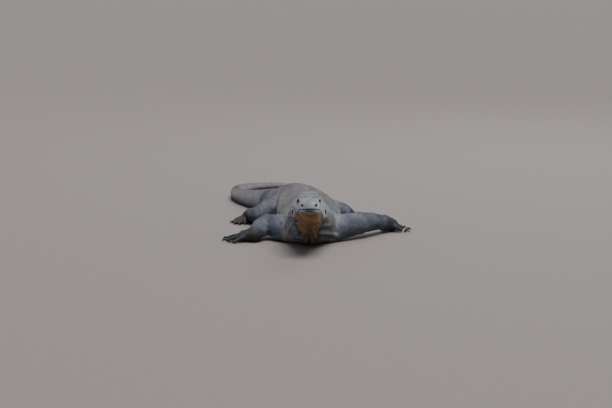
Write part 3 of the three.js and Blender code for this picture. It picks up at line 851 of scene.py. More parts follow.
def face_marks(points):
    """Masks on the head: the blue-grey upper lip; what is dark, which is painted shade in the nostrils and
    ears, round the lids, on the snout's blunt front and along the mouth's line, with a darker band and the
    stained middle of the lower lip; and painted highlights on the rims of the openings, with the pale tops of
    the brows."""
    along, up, out = place = head_place(*points.T)
    _, side, rise = eye_axes(place)
    gap = up - mouth_height(along)
    mouth = ease(-46, -38, along) * ease(78, 70, out)
    lip = mouth * ease(15, 9, gap) * ease(0.2, 1.6, gap)
    pits = [ball(place, NOSTRIL_PIT, NOSTRIL_SIZE), ball(place, EAR, EAR_SIZE) - 0.6]
    # Painted shade in the nostrils and ears, round the eyes, on the snout's blunt front and along the mouth's
    # line.
    dark = sum(ease(2.7, 1.7, pit) for pit in pits)
    near_eye = np.hypot(side / 1.3, rise * 1.5)
    lids = ease(12, 7, near_eye) * ease(26, 31, out) * ease(70, 60, out)
    blunt = ease(74, 86, along) * ease(-13, -19, up) * ease(29, 22, out)
    stained = ease(40, 60, along) * ease(16, 11, out) * ease(-17, -13, gap) * ease(1, -1, gap)
    stained *= 0.55 + 0.45 * np.sin(2 * math.pi * out / 5.5)
    seam = mouth * bell(gap, 0, 1.3)
    low_lip = mouth * ease(-17, -12, gap) * ease(-0.5, -2, gap)
    dark = np.clip(dark + 0.8 * lids + 0.34 * blunt + 0.5 * stained + 0.8 * seam + 0.3 * low_lip, 0, 1)
    # Painted highlights on the rims of the nostrils and ears.
    rims = sum(bell(pit, 4.2, 1.6) for pit in pits)
    rims = rims + 1.2 * ease(14, 8, on_brow(along, out)) * ease(8, 13, up)  # the brows' tops
    return lip, dark, rims


def damp_places(x, y, z):
    """Where the hide is darker: left foreleg, right thigh, and the left side of the low neck, which is painted
    shade. Each is a product of eased steps along the axes."""
    foreleg = ease(105, 160, x) * ease(500, 420, y)
    # Painted shade on the left side of the low neck.
    neck = 0.85 * ease(35, 65, x) * ease(160, 130, z) * ease(90, 40, y)
    thigh = ease(-90, -125, x) * ease(480, 530, y) * ease(780, 700, y)
    return np.maximum(foreleg, np.maximum(neck, thigh))


def markings(points, normals):
    """Masks from 0 to 1 at places on the hide: pale head and nape, ochre throat, blue-grey limbs, painted
    shade on the underside and near the ground, darker patches, dust with painted light on what faces up,
    painted shade in the valleys of the folds, painted highlights on their ridges, and the marks of the face."""
    x, y, z = points.T
    over, cx, cz, half = trunk_place(points)
    height = np.sin(over)
    _, up, _ = head_place(x, y, z)
    wave = ripple(points, 90, 11)
    fine = ripple(points, 24, 12)
    body = np.hypot(x - cx, (z - cz) * 0.9) - half
    to_limb, foot, fold = limb_marks(points)
    limb = ease(-14, 16, body - to_limb) * ease(40, 70, y)
    limb = np.maximum(limb, ease(150, 210, np.abs(x) + 6 * wave) * ease(900, 850, y))
    limb *= 1 - 0.7 * ease(420, 500, y) * ease(-10, 20, x) * ease(150, 120, x)  # the left thigh is trunk grey
    pale = ease(330, -150, y + 40 * wave + 20 * fine) * ease(-0.2, 0.5, height + 0.15 * fine)
    pale = np.maximum(pale, ease(-190, -230, y) * ease(-56, -46, up + 3 * fine))
    off_edge = np.abs(x - cx) - sack_width(z) + 4 * wave + 2 * fine
    throat = ease(9, -5, off_edge) * ease(-43, -53, up + 2 * fine)
    throat = throat * ease(70, 10, y) * ease(0.05, -0.25, height)
    facing = normals[:, 2] + 0.08 * fine
    # Painted shade: darker where the hide faces down, near the ground, on the low chest and low on the throat.
    under = np.maximum(ease(0.15, -0.8, facing), ease(30, 4, z + 3 * fine))
    under = np.maximum(under, 0.85 * ease(100, 35, z + 5 * fine) * ease(60, -10, y))  # the low chest
    under = np.maximum(under * (1 - throat), 0.3 * throat * ease(110, 40, z))
    damp = damp_places(x + 8 * fine, y, z + 5 * fine) * (1 - throat)
    damp = np.maximum(damp, 0.4 * ease(1000, 1500, y))  # the tail darkens towards its end
    under = np.maximum(under, 0.92 * damp)
    # The feet are painted dark, as shade near the ground.
    under = np.maximum(under, 0.9 * foot)
    # Dust, together with painted light: what faces up is painted paler.
    dust = ease(0.25, 0.95, facing) * (0.7 + 0.3 * wave) * (1 - 0.6 * damp)
    lift = relief(points)
    fade = ease(900, 820, y)
    lip, dark, rims = face_marks(points)
    middle = throat * bell(x - cx + 3 * fine, 0, 17) * ease(165, 120, z)  # the dark pleats down its middle
    # Painted shade in the valleys of the folds and where a bent limb meets itself, with the darker middle of
    # the throat.
    crease = np.clip(np.clip(-lift / 2.0, 0, 1) * fade + fold + 0.3 * middle, 0, 1)
    # The feet are painted dark, as shade near the ground.
    dark = np.maximum(dark, 0.85 * foot)
    # Painted highlights on the ridges of the folds and the rims of the openings, with the paler tops of the
    # brows.
    ridge = np.clip(np.clip(lift / 1.9, 0, 1) * fade * (1 - middle) + rims, 0, 1)
    return {"pale": pale, "throat": throat, "limb": limb, "under": under, "dust": np.clip(dust, 0, 1),
            "crease": crease, "ridge": ridge, "lip": lip, "dark": dark}


def give_values(piece, name, values):
    """Writes one number for each point to a named attribute of the piece's mesh."""
    layer = piece.data.attributes.new(name, "FLOAT", "POINT")
    layer.data.foreach_set("value", np.ascontiguousarray(values, np.float32))


def give_marks(piece, marks):
    for name in MARKS:
        give_values(piece, name, marks[name])


# ---------------------------------------------------------------- scales

COARSER = 1.0
SCALE_SIDES = 6
PATCH = 0.0015  # half the width of each scale's patch on the unrolled skin
ROW_STEP = 0.87  # distance between rows of scales, as a share of their pitch
EAR_CLEAR = (7.0, 10.0, 8.0)  # the part of the ear's opening that has no scales


class Hide:
    """The finished skin, for laying scales on: finds the nearest place on it, with its smoothed normal."""

    def __init__(self, points, triangles):
        self.points, self.triangles = points, triangles
        a, b, c = (points[triangles[:, k]] for k in range(3))
        face = np.cross(b - a, c - a)
        self.normals = np.zeros_like(points)
        for k in range(3):
            np.add.at(self.normals, triangles[:, k], face)
        self.normals = unit(self.normals)
        self.tree = BVHTree.FromPolygons(points.tolist(), triangles.tolist())

    def nearest(self, places):
        """The nearest place on the skin to each, and the mean of its corners' normals, the near ones most."""
        found = [self.tree.find_nearest(p) for p in places.tolist()]
        spots = np.array([f[0] for f in found])
        corners = self.triangles[[f[2] for f in found]]
        weights = 1 / (np.linalg.norm(self.points[corners] - spots[:, None], axis=2) + 0.3)
        normals = unit((self.normals[corners] * weights[..., None]).sum(1))
        return spots, normals


def rows_over(surface, start, end, pitch, seed, wander=0.1):
    """Roots of scales over a lofted surface: rows 0.87 of the pitch apart along it, each stepped evenly round
    its own girth and shifted by half a step from the last. Gives places, the way to the surface's end, the
    pitch and the place on the unrolled surface."""
    rng = np.random.default_rng(seed)
    angles = np.linspace(-math.pi / 2, 1.5 * math.pi, 145)
    u = np.linspace(start, end, 160)
    rings = surface(u, angles)
    lengths = np.concatenate([[0], np.cumsum(np.linalg.norm(np.diff(rings, axis=0), axis=2).mean(1))])
    size = np.array([pitch(v) for v in u]) * COARSER
    steps = np.concatenate([[0], np.cumsum(np.diff(lengths) / (ROW_STEP * (size[1:] + size[:-1]) / 2))])
    rows = np.interp(np.arange(0.5, steps[-1]), steps, u)
    rings = surface(rows, angles)
    places, ways, sizes, charts = [], [], [], []
    nearby = surface(np.minimum(rows + 0.02, end + 0.02), angles) - surface(rows - 0.02, angles)
    for k, (ring, row, run) in enumerate(zip(rings, rows, nearby)):
        girth = np.concatenate([[0], np.cumsum(np.linalg.norm(np.diff(ring, axis=0), axis=1))])
        step = float(np.interp(row, u, size))
        count = max(int(round(girth[-1] / step)), 3)
        share = (np.arange(count) + 0.5 * (k % 2) + rng.normal(0, wander, count)) / count % 1
        angle = np.interp(share * girth[-1], girth, angles)
        drift = rng.normal(0, wander, count) * step * ROW_STEP / max(lengths[-1], 1) * (end - start)
        at = np.full(count, row) + drift
        index = np.interp(angle, angles, np.arange(len(angles)))
        low = np.minimum(index.astype(int), len(angles) - 2)
        mix = (index - low)[:, None]
        slide = ((at - row) / 0.04)[:, None]
        way = run[low] * (1 - mix) + run[low + 1] * mix
        places.append(ring[low] * (1 - mix) + ring[low + 1] * mix + way * slide)
        ways.append(unit(way))
        sizes.append(np.full(count, step))
        charts.append(np.stack([np.full(count, (row - start) / (end - start)), share], 1))
    return [np.concatenate(part) for part in (places, ways, sizes, charts)]


def tree_of(spots):
    """A search tree over places."""
    tree = KDTree(len(spots))
    for k, spot in enumerate(spots.tolist()):
        tree.insert(spot, k)
    tree.balance()
    return tree


def neighbours(spots, count):
    """Numbers of the places nearest to each place, itself among them."""
    tree = tree_of(spots)
    found = [[n[1] for n in tree.find_n(spot, count + 1)] for spot in spots.tolist()]
    return np.array(found)


def thin_out(spots, rank, sizes, nearest=0.62):
    """Keeps the better ranked of any two roots that are closer than a share of their pitch."""
    ring = neighbours(spots, 10)
    gap = np.linalg.norm(spots[ring] - spots[:, None], axis=2)
    close = (gap < nearest * 0.5 * (sizes[ring] + sizes[:, None])) & (ring != np.arange(len(spots))[:, None])
    order = rank + np.arange(len(spots)) * 1e-7
    kept = np.zeros(len(spots), bool)
    dropped = np.zeros(len(spots), bool)
    for _ in range(8):
        open_rank = np.where(kept | dropped, np.inf, order)
        rivals = np.where(close & ~dropped[ring], order[ring], np.inf).min(1)
        kept |= (open_rank < rivals) & ~dropped
        dropped |= (close & kept[ring]).any(1) & ~kept
    return kept | ~(kept | dropped)


def on_openings(spots):
    """Which places lie on an eye, in a nostril or an ear, or on the mouth's line."""
    along, up, out = place = head_place(*spots.T)
    eye_out, eye_side, eye_rise = eye_axes(place)
    return (
        ((eye_opening(eye_side, eye_rise) < 1.0) & (eye_out > 0) & (eye_out < 22))
        | (ball(place, NOSTRIL_PIT, NOSTRIL_SIZE) < 1.2)
        | (ball(place, EAR, EAR_CLEAR) < 1.2)
        | ((np.abs(up - mouth_height(along)) < 1.1) & (along > -44) & (out < 75))
    )


def outline_radii(spots, sizes, spokes):
    """How far each scale reaches along its spokes: to the nearest bisector between it and its neighbours,
    held between shares of its pitch, less a narrow gap."""
    run = spots[neighbours(spots, 8)] - spots[:, None]
    square = (run ** 2).sum(2)
    lean = np.einsum("nkx,nsx->nks", run, spokes)
    bisector = np.where(lean > 0.25 * np.sqrt(square)[..., None],
                        square[..., None] / 2 / np.maximum(lean, 1e-6), np.inf)
    return np.clip(bisector.min(1), 0.3 * sizes[:, None], 0.7 * sizes[:, None]) * 0.95


def lay_scales(hide, name, roots, rank, shape, laid):
    """Joins a scale at each root into one piece. A scale is a low bead: an outline sunk a little in the skin,
    a smaller ring above it and a crown set back from the middle. shape gives height, fullness of the upper
    ring, setback of the crown and keel. laid holds the scales of earlier pieces, which it keeps clear of."""
    places, ways, sizes, charts = roots
    spots, normals = hide.nearest(places)
    moved = np.linalg.norm(spots - places, axis=1)
    flat_down = (spots[:, 2] < GROUND + 0.5) & (normals[:, 2] < -0.6)
    keep = (moved < 2.4 * sizes + 5) & ~on_openings(spots) & ~flat_down
    if laid is not None:
        tree = tree_of(laid[0])
        gap = np.array([tree.find(spot)[2] for spot in spots.tolist()])
        keep &= gap > 0.6 * sizes
    spots, normals, ways, sizes, charts, rank, moved = (
        v[keep] for v in (spots, normals, ways, sizes, charts, rank, moved))
    keep = thin_out(spots, rank + moved * 0.01, sizes)
    spots, normals, ways, sizes, charts = (v[keep] for v in (spots, normals, ways, sizes, charts))
    count = len(spots)

    rear = unit(ways - (ways * normals).sum(1, keepdims=True) * normals)
    side = np.cross(rear, normals)
    turns = math.pi / 6 + np.arange(SCALE_SIDES) * (2 * math.pi / SCALE_SIDES)
    spokes = side[:, None] * np.cos(turns)[None, :, None] + rear[:, None] * np.sin(turns)[None, :, None]
    radius = outline_radii(spots, sizes, spokes)

    chance = RANDOM.random(count)
    height, full, setback, keel = shape
    tall = (height * sizes * (0.8 + 0.4 * RANDOM.random(count)))[:, None, None]
    lift = normals[:, None] * tall
    base = spots[:, None] + spokes * radius[..., None] - lift * 0.45
    half_back = rear[:, None] * (sizes * setback * 0.5)[:, None, None]
    ring_up = spots[:, None] + spokes * radius[..., None] * full + lift * 0.62 + half_back
    crown = spots[:, None] + lift * (1 + keel) + rear[:, None] * (sizes * setback)[:, None, None]
    points = np.concatenate([base, ring_up, crown], 1)
    points[..., 2] = np.maximum(points[..., 2], 0.15)

    n = SCALE_SIDES
    k = np.arange(n)
    after = (k + 1) % n
    pattern = np.concatenate([np.stack([k, after, after + n], 1), np.stack([k, after + n, k + n], 1),
                              np.stack([k + n, after + n, np.full(n, 2 * n)], 1)])
    each = 2 * n + 1
    faces = (np.arange(count)[:, None, None] * each + pattern).reshape(-1, 3)
    piece = mesh_of(name, to_row(points.reshape(-1, 3)), faces)

    marks = markings(spots, normals)
    marks["chance"] = chance
    marks = {key: np.repeat(value, each) for key, value in marks.items()}
    # rise is 0 at each scale's base, where the hide colour paints shade, and 1 at its crown.
    marks["rise"] = np.tile(np.concatenate([np.zeros(n), np.full(n, 0.72), [1.0]]), count)
    give_marks(piece, marks)

    outline = np.stack([np.cos(turns), np.sin(turns)], 1)
    flat = np.concatenate([outline, outline * 0.6, [[0.0, 0.0]]])
    unrolled = (charts[:, None] * 0.96 + 0.02) + PATCH * flat
    layer = piece.data.uv_layers.new(name="OFBake")
    layer.data.foreach_set("uv", unrolled.reshape(-1, 2)[faces.ravel()].astype(np.float32).ravel())
    return piece, (spots, rear, sizes, charts)


def roots_between(hide, laid):
    """Roots at the skin's own points where no scale's root lies within its pitch, as on swellings, which
    stretch the rows. Each takes the way, pitch and unrolled place of the nearest scale."""
    spots, ways, sizes, charts = laid
    tree = tree_of(spots)
    found = [tree.find(p) for p in hide.points.tolist()]
    number, gap = np.array([f[1] for f in found]), np.array([f[2] for f in found])
    bare = (gap > 0.8 * sizes[number]) & (gap < 4 * sizes[number])
    number = number[bare]
    return [hide.points[bare], ways[number], sizes[number], charts[number]]


def tube_surface(table):
    """A limb's surface for rows_over, held just short of its ends."""
    return lambda u, angles: limb_surface(table, np.clip(u, -0.97, len(table) - 1 + 0.97), angles)


LIP_ROWS = ((3.1, 4.2), (-3.1, 4.2))  # height over the mouth's line, and pitch
LID_ROWS = ((1.9, 2.2), (4.0, 2.5), (6.4, 2.9))  # distance from the opening, and pitch


def face_rows():
    """Roots of the small scales that follow the lips and the edges of the lids. The rows of the lips keep a
    height over the mouth's line, and those of the lids are ellipses round the opening."""
    places, ways, sizes, charts = [], [], [], []
    along = np.arange(-44, 94, 4.0 * COARSER)
    for gap, size in LIP_ROWS:
        level = mouth_height(along) + gap
        ahead = head_point(along, level, 0)
        u = np.interp(ahead[:, 1], SPINE[:, 1], np.arange(len(SPINE)))
        half = np.interp(ahead[:, 1], SPINE[:, 1], SPINE[:, 5])
        for sign in (-1, 1):
            spot = head_point(along, level, sign * half)
            places.append(spot)
            ways.append(np.tile(-HEAD_AHEAD, (len(along), 1)))
            sizes.append(np.full(len(along), size * COARSER))
            charts.append(np.stack([u / 9, np.full(len(u), 0.25 + 0.22 * sign + gap * 0.002)], 1))
    turn = np.linspace(0, 2 * math.pi, int(21 / COARSER) + 1)[:-1]
    length, height = EYE_OPEN
    for ring, (off, size) in enumerate(LID_ROWS):
        shift = math.pi * (ring % 2) / len(turn)
        a, b = (length + off) * np.cos(turn + shift), (height + off) * np.sin(turn + shift) - 0.3
        for sign in (-1, 1):
            local = a[:, None] * EYE_SIDE + b[:, None] * EYE_RISE + 13 * EYE_WAY
            places.append(head_point(local[:, 0], local[:, 1], sign * (EYE_OUT + local[:, 2])))
            tangent = head_point(a, b, 0) - head_point(0, 0, 0)
            ways.append(unit(tangent + 0.01))
            sizes.append(np.full(len(turn), size * COARSER))
            charts.append(np.stack([0.62 + a * 0.004, 0.5 + sign * 0.3 + b * 0.004], 1))
    return [np.concatenate(part) for part in (places, ways, sizes, charts)]


# ---------------------------------------------------------------- claws and eyes

def claw_piece(name, horn):
    """A hooked claw: a tapering tube on the horn's table, deeper than wide, drawn in towards its point."""
    u = np.linspace(-0.35, 1.995, 22)
    angles = np.linspace(0, 2 * math.pi, 15)[:-1]
    rings = limb_surface(horn, u, angles)
    middle = rings.mean(1, keepdims=True)
    point = np.clip(1 - ((u - 1.2) / 0.8).clip(0, 1) ** 2, 0.06, 1)[:, None, None]
    rings = middle + (rings - middle) * point
    rings[..., 2] = np.maximum(rings[..., 2], 0.4)
    points, faces = closed_tube(rings)
    piece = mesh_of(name, to_row(points), faces)
    give_values(piece, "length", np.concatenate([np.repeat(np.linspace(0, 1, len(u)), len(angles)), [0, 1]]))
    return piece


def eye_piece(name, sign):
    """An eyeball whose rings are centred on the way it looks: at each angle from the pole a circle with the
    radius times its sine. The cornea swells 0.45 mm over the iris."""
    from_pole = np.linspace(0, math.pi, 41)[1:-1]
    turn = np.linspace(0, 2 * math.pi, 49)[:-1]
    radius = EYE_RADIUS - 0.15 + 0.45 * bell(np.degrees(from_pole), 0, 32)
    ring = np.stack([np.cos(from_pole), np.sin(from_pole)], 1) * radius[:, None]
    way, side, rise = (np.array([v[0], v[1], sign * v[2]]) for v in (EYE_WAY, EYE_SIDE, EYE_RISE))
    local = (ring[:, None, :1] * way + ring[:, None, 1:] * (
        np.cos(turn)[None, :, None] * side + np.sin(turn)[None, :, None] * rise))
    centre = np.array([0.0, 0.0, sign * EYE_OUT])
    place = local + centre
    rings = head_point(place[..., 0], place[..., 1], place[..., 2])
    points, faces = closed_tube(rings)
    piece = mesh_of(name, to_row(points), faces)
    give_values(piece, "from_pupil", np.concatenate([np.repeat(np.degrees(from_pole), len(turn)), [0, 180]]))
    return piece


# ---------------------------------------------------------------- materials

def paint(red, green, blue):
    """A paint named by its 0 to 255 screen values, as the linear colour that shaders take."""
    values = np.array([red, green, blue]) / 255
    linear = np.where(values <= 0.04045, values / 12.92, ((values + 0.055) / 1.055) ** 2.4)
    return (*linear.tolist(), 1.0)


TRUNK_DARK, TRUNK_LIGHT = paint(124, 121, 124), paint(194, 191, 196)
LIMB_DARK, LIMB_LIGHT = paint(70, 78, 95), paint(126, 135, 157)
PALE_DARK, PALE_LIGHT = paint(158, 163, 171), paint(214, 219, 227)
# The umber paints shade under the throat and in its creases, and the palest ochre paints highlights on the
# pleats.
OCHRE, OCHRE_LIGHT, UMBER = paint(172, 124, 80), paint(206, 168, 130), paint(98, 72, 52)
OCHRE_PALE = paint(216, 194, 168)
# The dust colour also paints highlights on ridges and rims; the groove colour paints shade in creases,
# hollows, undersides and at the scales' bases, and the stains.
DUST, GROOVE, LIP_BLUE = paint(222, 224, 228), paint(34, 31, 32), paint(178, 178, 210)
HORN_BASE, HORN_TIP = paint(24, 22, 21), paint(52, 48, 43)


def link(tree, source, target):
    tree.links.new(source, target)


def noise(tree, vector, scale, detail=3.0, roughness=0.55):
    node = tree.nodes.new("ShaderNodeTexNoise")
    node.inputs["Scale"].default_value = scale
    node.inputs["Detail"].default_value = detail
    node.inputs["Roughness"].default_value = roughness
    link(tree, vector, node.inputs["Vector"])
    return node.outputs["Fac"]


def math_node(tree, operation, first, second, clamp=False):
    """One Math node. Either input may be a number or a socket."""
    node = tree.nodes.new("ShaderNodeMath")
    node.operation = operation
    node.use_clamp = clamp
    for socket, value in zip(node.inputs, (first, second)):
        if isinstance(value, (int, float)):
            socket.default_value = value
        else:
            link(tree, value, socket)
    return node.outputs[0]


def plus(tree, first, second, clamp=False):
    return math_node(tree, "ADD", first, second, clamp)


def times(tree, first, second):
    return math_node(tree, "MULTIPLY", first, second)


def mixed(tree, share, first, second):
    """One colour Mix node. Inputs may be colours or sockets."""
    node = tree.nodes.new("ShaderNodeMix")
    node.data_type = "RGBA"
    for name, value in (("Factor_Float", share), ("A_Color", first), ("B_Color", second)):
        socket = next(s for s in node.inputs if s.identifier == name)
        if isinstance(value, (int, float, tuple)):
            socket.default_value = value
        else:
            link(tree, value, socket)
    return next(s for s in node.outputs if s.identifier == "Result_Color")


def stretch(tree, value, low, high):
    """Maps low..high to 0..1, held at the ends."""
    node = tree.nodes.new("ShaderNodeMapRange")
    node.inputs["From Min"].default_value = low
    node.inputs["From Max"].default_value = high
    link(tree, value, node.inputs["Value"])
    return node.outputs["Result"]


def hide_group():
    """Colour, roughness and height of the hide from its masks: each mask mixes its paint over those before
    it, several of them painted shade and highlights, and noise in three sizes gives patches, flecks and grit."""
    tree = bpy.data.node_groups.new("hide colour", "ShaderNodeTree")
    sockets = tree.interface
    sockets.new_socket("Place", in_out="INPUT", socket_type="NodeSocketVector")
    for name in MARKS:
        sockets.new_socket(name.capitalize(), in_out="INPUT", socket_type="NodeSocketFloat")
    sockets.new_socket("Colour", in_out="OUTPUT", socket_type="NodeSocketColor")
    sockets.new_socket("Roughness", in_out="OUTPUT", socket_type="NodeSocketFloat")
    sockets.new_socket("Height", in_out="OUTPUT", socket_type="NodeSocketFloat")
    given = tree.nodes.new("NodeGroupInput").outputs
    result = tree.nodes.new("NodeGroupOutput").inputs
    place = given["Place"]
    patches = stretch(tree, noise(tree, place, 9.0, 5.0), 0.35, 0.66)
    flecks = stretch(tree, noise(tree, place, 70.0, 3.0), 0.36, 0.66)
    grit = noise(tree, place, 900.0, 2.0)
    tone = plus(tree, times(tree, patches, 0.4), times(tree, flecks, 0.35))
    tone = plus(tree, tone, times(tree, given["Chance"], 0.3), clamp=True)
    colour = mixed(tree, tone, TRUNK_DARK, TRUNK_LIGHT)
    colour = mixed(tree, given["Limb"], colour, mixed(tree, tone, LIMB_DARK, LIMB_LIGHT))
    colour = mixed(tree, given["Pale"], colour, mixed(tree, tone, PALE_DARK, PALE_LIGHT))
    # Dust and painted light: upward faces paler.
    colour = mixed(tree, times(tree, given["Dust"], 0.6), colour, DUST)
    # Painted highlights on the ridges.
    colour = mixed(tree, times(tree, given["Ridge"], 0.26), colour, DUST)
    throat = mixed(tree, times(tree, tone, 0.6), OCHRE, OCHRE_LIGHT)
    # Painted shade under the throat and in its creases, and painted highlights on the ridges of its pleats.
    throat = mixed(tree, given["Under"], throat, mixed(tree, tone, UMBER, OCHRE))
    throat = mixed(tree, times(tree, given["Ridge"], 0.8), throat, OCHRE_PALE)
    throat = mixed(tree, given["Crease"], throat, UMBER)
    colour = mixed(tree, given["Throat"], colour, throat)
    colour = mixed(tree, times(tree, given["Lip"], 0.55), colour, LIP_BLUE)
    # Painted shade on the underside and near the ground, with the darker patches.
    colour = mixed(tree, times(tree, given["Under"], 0.55), colour, GROOVE)
    # Painted shade in the creases.
    colour = mixed(tree, times(tree, given["Crease"], 0.66), colour, GROOVE)
    # Painted shade of the face and feet, with the stains of the lower lip.
    colour = mixed(tree, given["Dark"], colour, GROOVE)
    # Painted shade at the bases of the scales and on the bare skin between them.
    deep = math_node(tree, "SUBTRACT", 1.0, stretch(tree, given["Rise"], 0.0, 0.75))
    colour = mixed(tree, times(tree, deep, 0.45), colour, GROOVE)
    link(tree, colour, result["Colour"])
    rough = plus(tree, 0.58, times(tree, flecks, 0.18))
    link(tree, plus(tree, rough, times(tree, deep, 0.12)), result["Roughness"])
    link(tree, plus(tree, times(tree, grit, 0.5), times(tree, flecks, 0.5)),
         result["Height"])
    return tree


def new_material(name):
    material = bpy.data.materials.new(name)
    material.use_nodes = True
    shader = material.node_tree.nodes["Principled BSDF"]
    return material, material.node_tree, shader


def object_place(tree):
    return tree.nodes.new("ShaderNodeTexCoord").outputs["Object"]


def attribute(tree, name):
    node = tree.nodes.new("ShaderNodeAttribute")
    node.attribute_name = name
    return node.outputs["Fac"]


def bump(tree, shader, height, strength, distance):
    node = tree.nodes.new("ShaderNodeBump")
    node.inputs["Strength"].default_value = strength
    node.inputs["Distance"].default_value = distance
    link(tree, height, node.inputs["Height"])
    link(tree, node.outputs["Normal"], shader.inputs["Normal"])


def hide_material(name, group, distance):
    """The hide's colours from the group, with its fine bump that deep."""
    material, tree, shader = new_material(name)
    node = tree.nodes.new("ShaderNodeGroup")
    node.node_tree = group
    link(tree, object_place(tree), node.inputs["Place"])
    for mark in MARKS:
        link(tree, attribute(tree, mark), node.inputs[mark.capitalize()])
    link(tree, node.outputs["Colour"], shader.inputs["Base Color"])
    link(tree, node.outputs["Roughness"], shader.inputs["Roughness"])
    shader.inputs["Specular IOR Level"].default_value = 0.35
    bump(tree, shader, node.outputs["Height"], 0.5, distance)
    return material


def horn_material():
    """Claws: dark at the root and paler to the tip, with fine streaks."""
    material, tree, shader = new_material("claw horn")
    along = attribute(tree, "length")
    place = object_place(tree)
    streaks = noise(tree, place, 420.0, 4.0)
    share = plus(tree, stretch(tree, along, 0.3, 0.9),
                 times(tree, math_node(tree, "SUBTRACT", streaks, 0.5), 0.7), clamp=True)
    link(tree, mixed(tree, share, HORN_BASE, HORN_TIP), shader.inputs["Base Color"])
    link(tree, plus(tree, 0.42, times(tree, streaks, 0.25)), shader.inputs["Roughness"])
    shader.inputs["Specular IOR Level"].default_value = 0.25
    bump(tree, shader, streaks, 0.3, 0.0004)
    return material


def ramp(tree, value, stops):
    """Colours at places from 0 to 1, mixed evenly between them."""
    node = tree.nodes.new("ShaderNodeValToRGB")
    elements = node.color_ramp.elements
    for element, (spot, colour) in zip(elements, stops[:2]):
        element.position, element.color = spot, colour
    for spot, colour in stops[2:]:
        elements.new(spot).color = colour
    link(tree, value, node.inputs["Fac"])
    return node.outputs["Color"]


def eye_material():
    """Round black pupil with a thin brown edge, a nearly black iris with fine flecks and a dark white."""
    material, tree, shader = new_material("wet eye")
    flecks = noise(tree, object_place(tree), 1600.0, 3.0)
    angle = plus(tree, attribute(tree, "from_pupil"), times(tree, flecks, 3.0))
    share = times(tree, angle, 1 / 60)
    colour = ramp(tree, share, [(0.0, paint(5, 5, 5)), (0.27, paint(6, 5, 5)), (0.31, paint(36, 25, 16)),
                                (0.37, paint(24, 17, 12)), (0.62, paint(18, 13, 10)),
                                (0.74, paint(9, 8, 8)), (1.0, paint(20, 17, 16))])
    link(tree, colour, shader.inputs["Base Color"])
    shader.inputs["Roughness"].default_value = 0.12
    shader.inputs["Specular IOR Level"].default_value = 0.12
    shader.inputs["Coat Weight"].default_value = 0.22
    shader.inputs["Coat Roughness"].default_value = 0.03
    return material


def floor_material():
    """Matt warm grey with faint soft specks."""
    material, tree, shader = new_material("studio floor")
    speck = noise(tree, object_place(tree), 30.0, 4.0)
    link(tree, mixed(tree, speck, paint(87, 81, 78), paint(97, 90, 88)), shader.inputs["Base Color"])
    shader.inputs["Roughness"].default_value = 0.85
    return material


# ---------------------------------------------------------------- putting it together

def thinned(piece, triangles):
    """The same object with its mesh collapsed to about that many triangles, fewest where it is flat."""
    count = sum(len(p.vertices) - 2 for p in piece.data.polygons)
    if count > triangles:
        modifier = piece.modifiers.new("thin", "DECIMATE")
        modifier.ratio = triangles / count
        depsgraph = bpy.context.evaluated_depsgraph_get()
        mesh = bpy.data.meshes.new_from_object(piece.evaluated_get(depsgraph))
        piece.modifiers.clear()
        old = piece.data
        piece.data = mesh
        bpy.data.meshes.remove(old)
    return piece


def mesh_arrays(mesh):
    """A mesh's points, and the corners of its triangles."""
    points = np.zeros(len(mesh.vertices) * 3)
    mesh.vertices.foreach_get("co", points)
    mesh.calc_loop_triangles()
    corners = np.zeros(len(mesh.loop_triangles) * 3, np.int32)
    mesh.loop_triangles.foreach_get("vertices", corners)
    return points.reshape(-1, 3), corners.reshape(-1, 3)


def joined_roots(*groups):
    """Several sets of roots as one, with each set's unrolled place in its own strip."""
    share = 1 / len(groups)
    sets = []
    for k, (places, ways, sizes, charts) in enumerate(groups):
        sets.append((places, ways, sizes, (charts + [k, 0]) * [share, 1]))
    return [np.concatenate(part) for part in zip(*sets)]


# Rows of the axis and the pitch of the scales there.
PITCH = np.array([(-1, 2.9), (0, 3.0), (4, 3.4), (8, 4.1), (11, 5.0), (13, 5.5), (18, 5.6), (21, 5.4),
                  (24, 4.9), (27, 4.2), (30, 3.3), (31, 2.9)])


def axis_pitch(row):
    """Pitch of the scales at a row of the axis, in a straight line between those given."""
    return float(np.interp(row, PITCH[:, 0], PITCH[:, 1]))


def muzzle_surface(u, angles):
    """The body's surface, and for rows under 0 its first ring drawn in towards its middle."""
    rings = body_surface(np.maximum(u, 0), angles)
    middle = rings.mean(1, keepdims=True)
    return middle + (rings - middle) * (1 + np.minimum(u, 0))[:, None, None]


# Name, first and last row, and the scale's shape: height, fullness, setback and keel.
AXIS_COATS = (
    ("scales_neck", 8.0, 11.2, (0.25, 0.74, 0.08, 0.0)),
    ("scales_chest", 11.2, 13.5, (0.25, 0.74, 0.12, 0.05)),
    ("scales_belly_front", 13.5, 15.0, (0.25, 0.74, 0.12, 0.08)),
    ("scales_belly_rear", 15.0, 16.8, (0.25, 0.74, 0.12, 0.08)),
    ("scales_hips", 16.8, 19.0, (0.25, 0.74, 0.14, 0.1)),
    ("scales_tail_base", 19.0, 21.5, (0.24, 0.72, 0.18, 0.2)),
    ("scales_tail_near", 21.5, 24.5, (0.24, 0.70, 0.22, 0.3)),
    ("scales_tail_far", 24.5, 30.9, (0.24, 0.70, 0.24, 0.3)),
)
HEAD_SCALE = (0.2, 0.8, 0.04, 0.0)
FOOT_SCALE = (0.22, 0.76, 0.1, 0.0)
LIMB_SCALE = (0.24, 0.74, 0.1, 0.05)
SMALL_SCALE = (0.22, 0.78, 0.06, 0.0)
LIMB_PITCH, PALM_PITCH, TOE_PITCH = 4.9, 4.0, 3.3


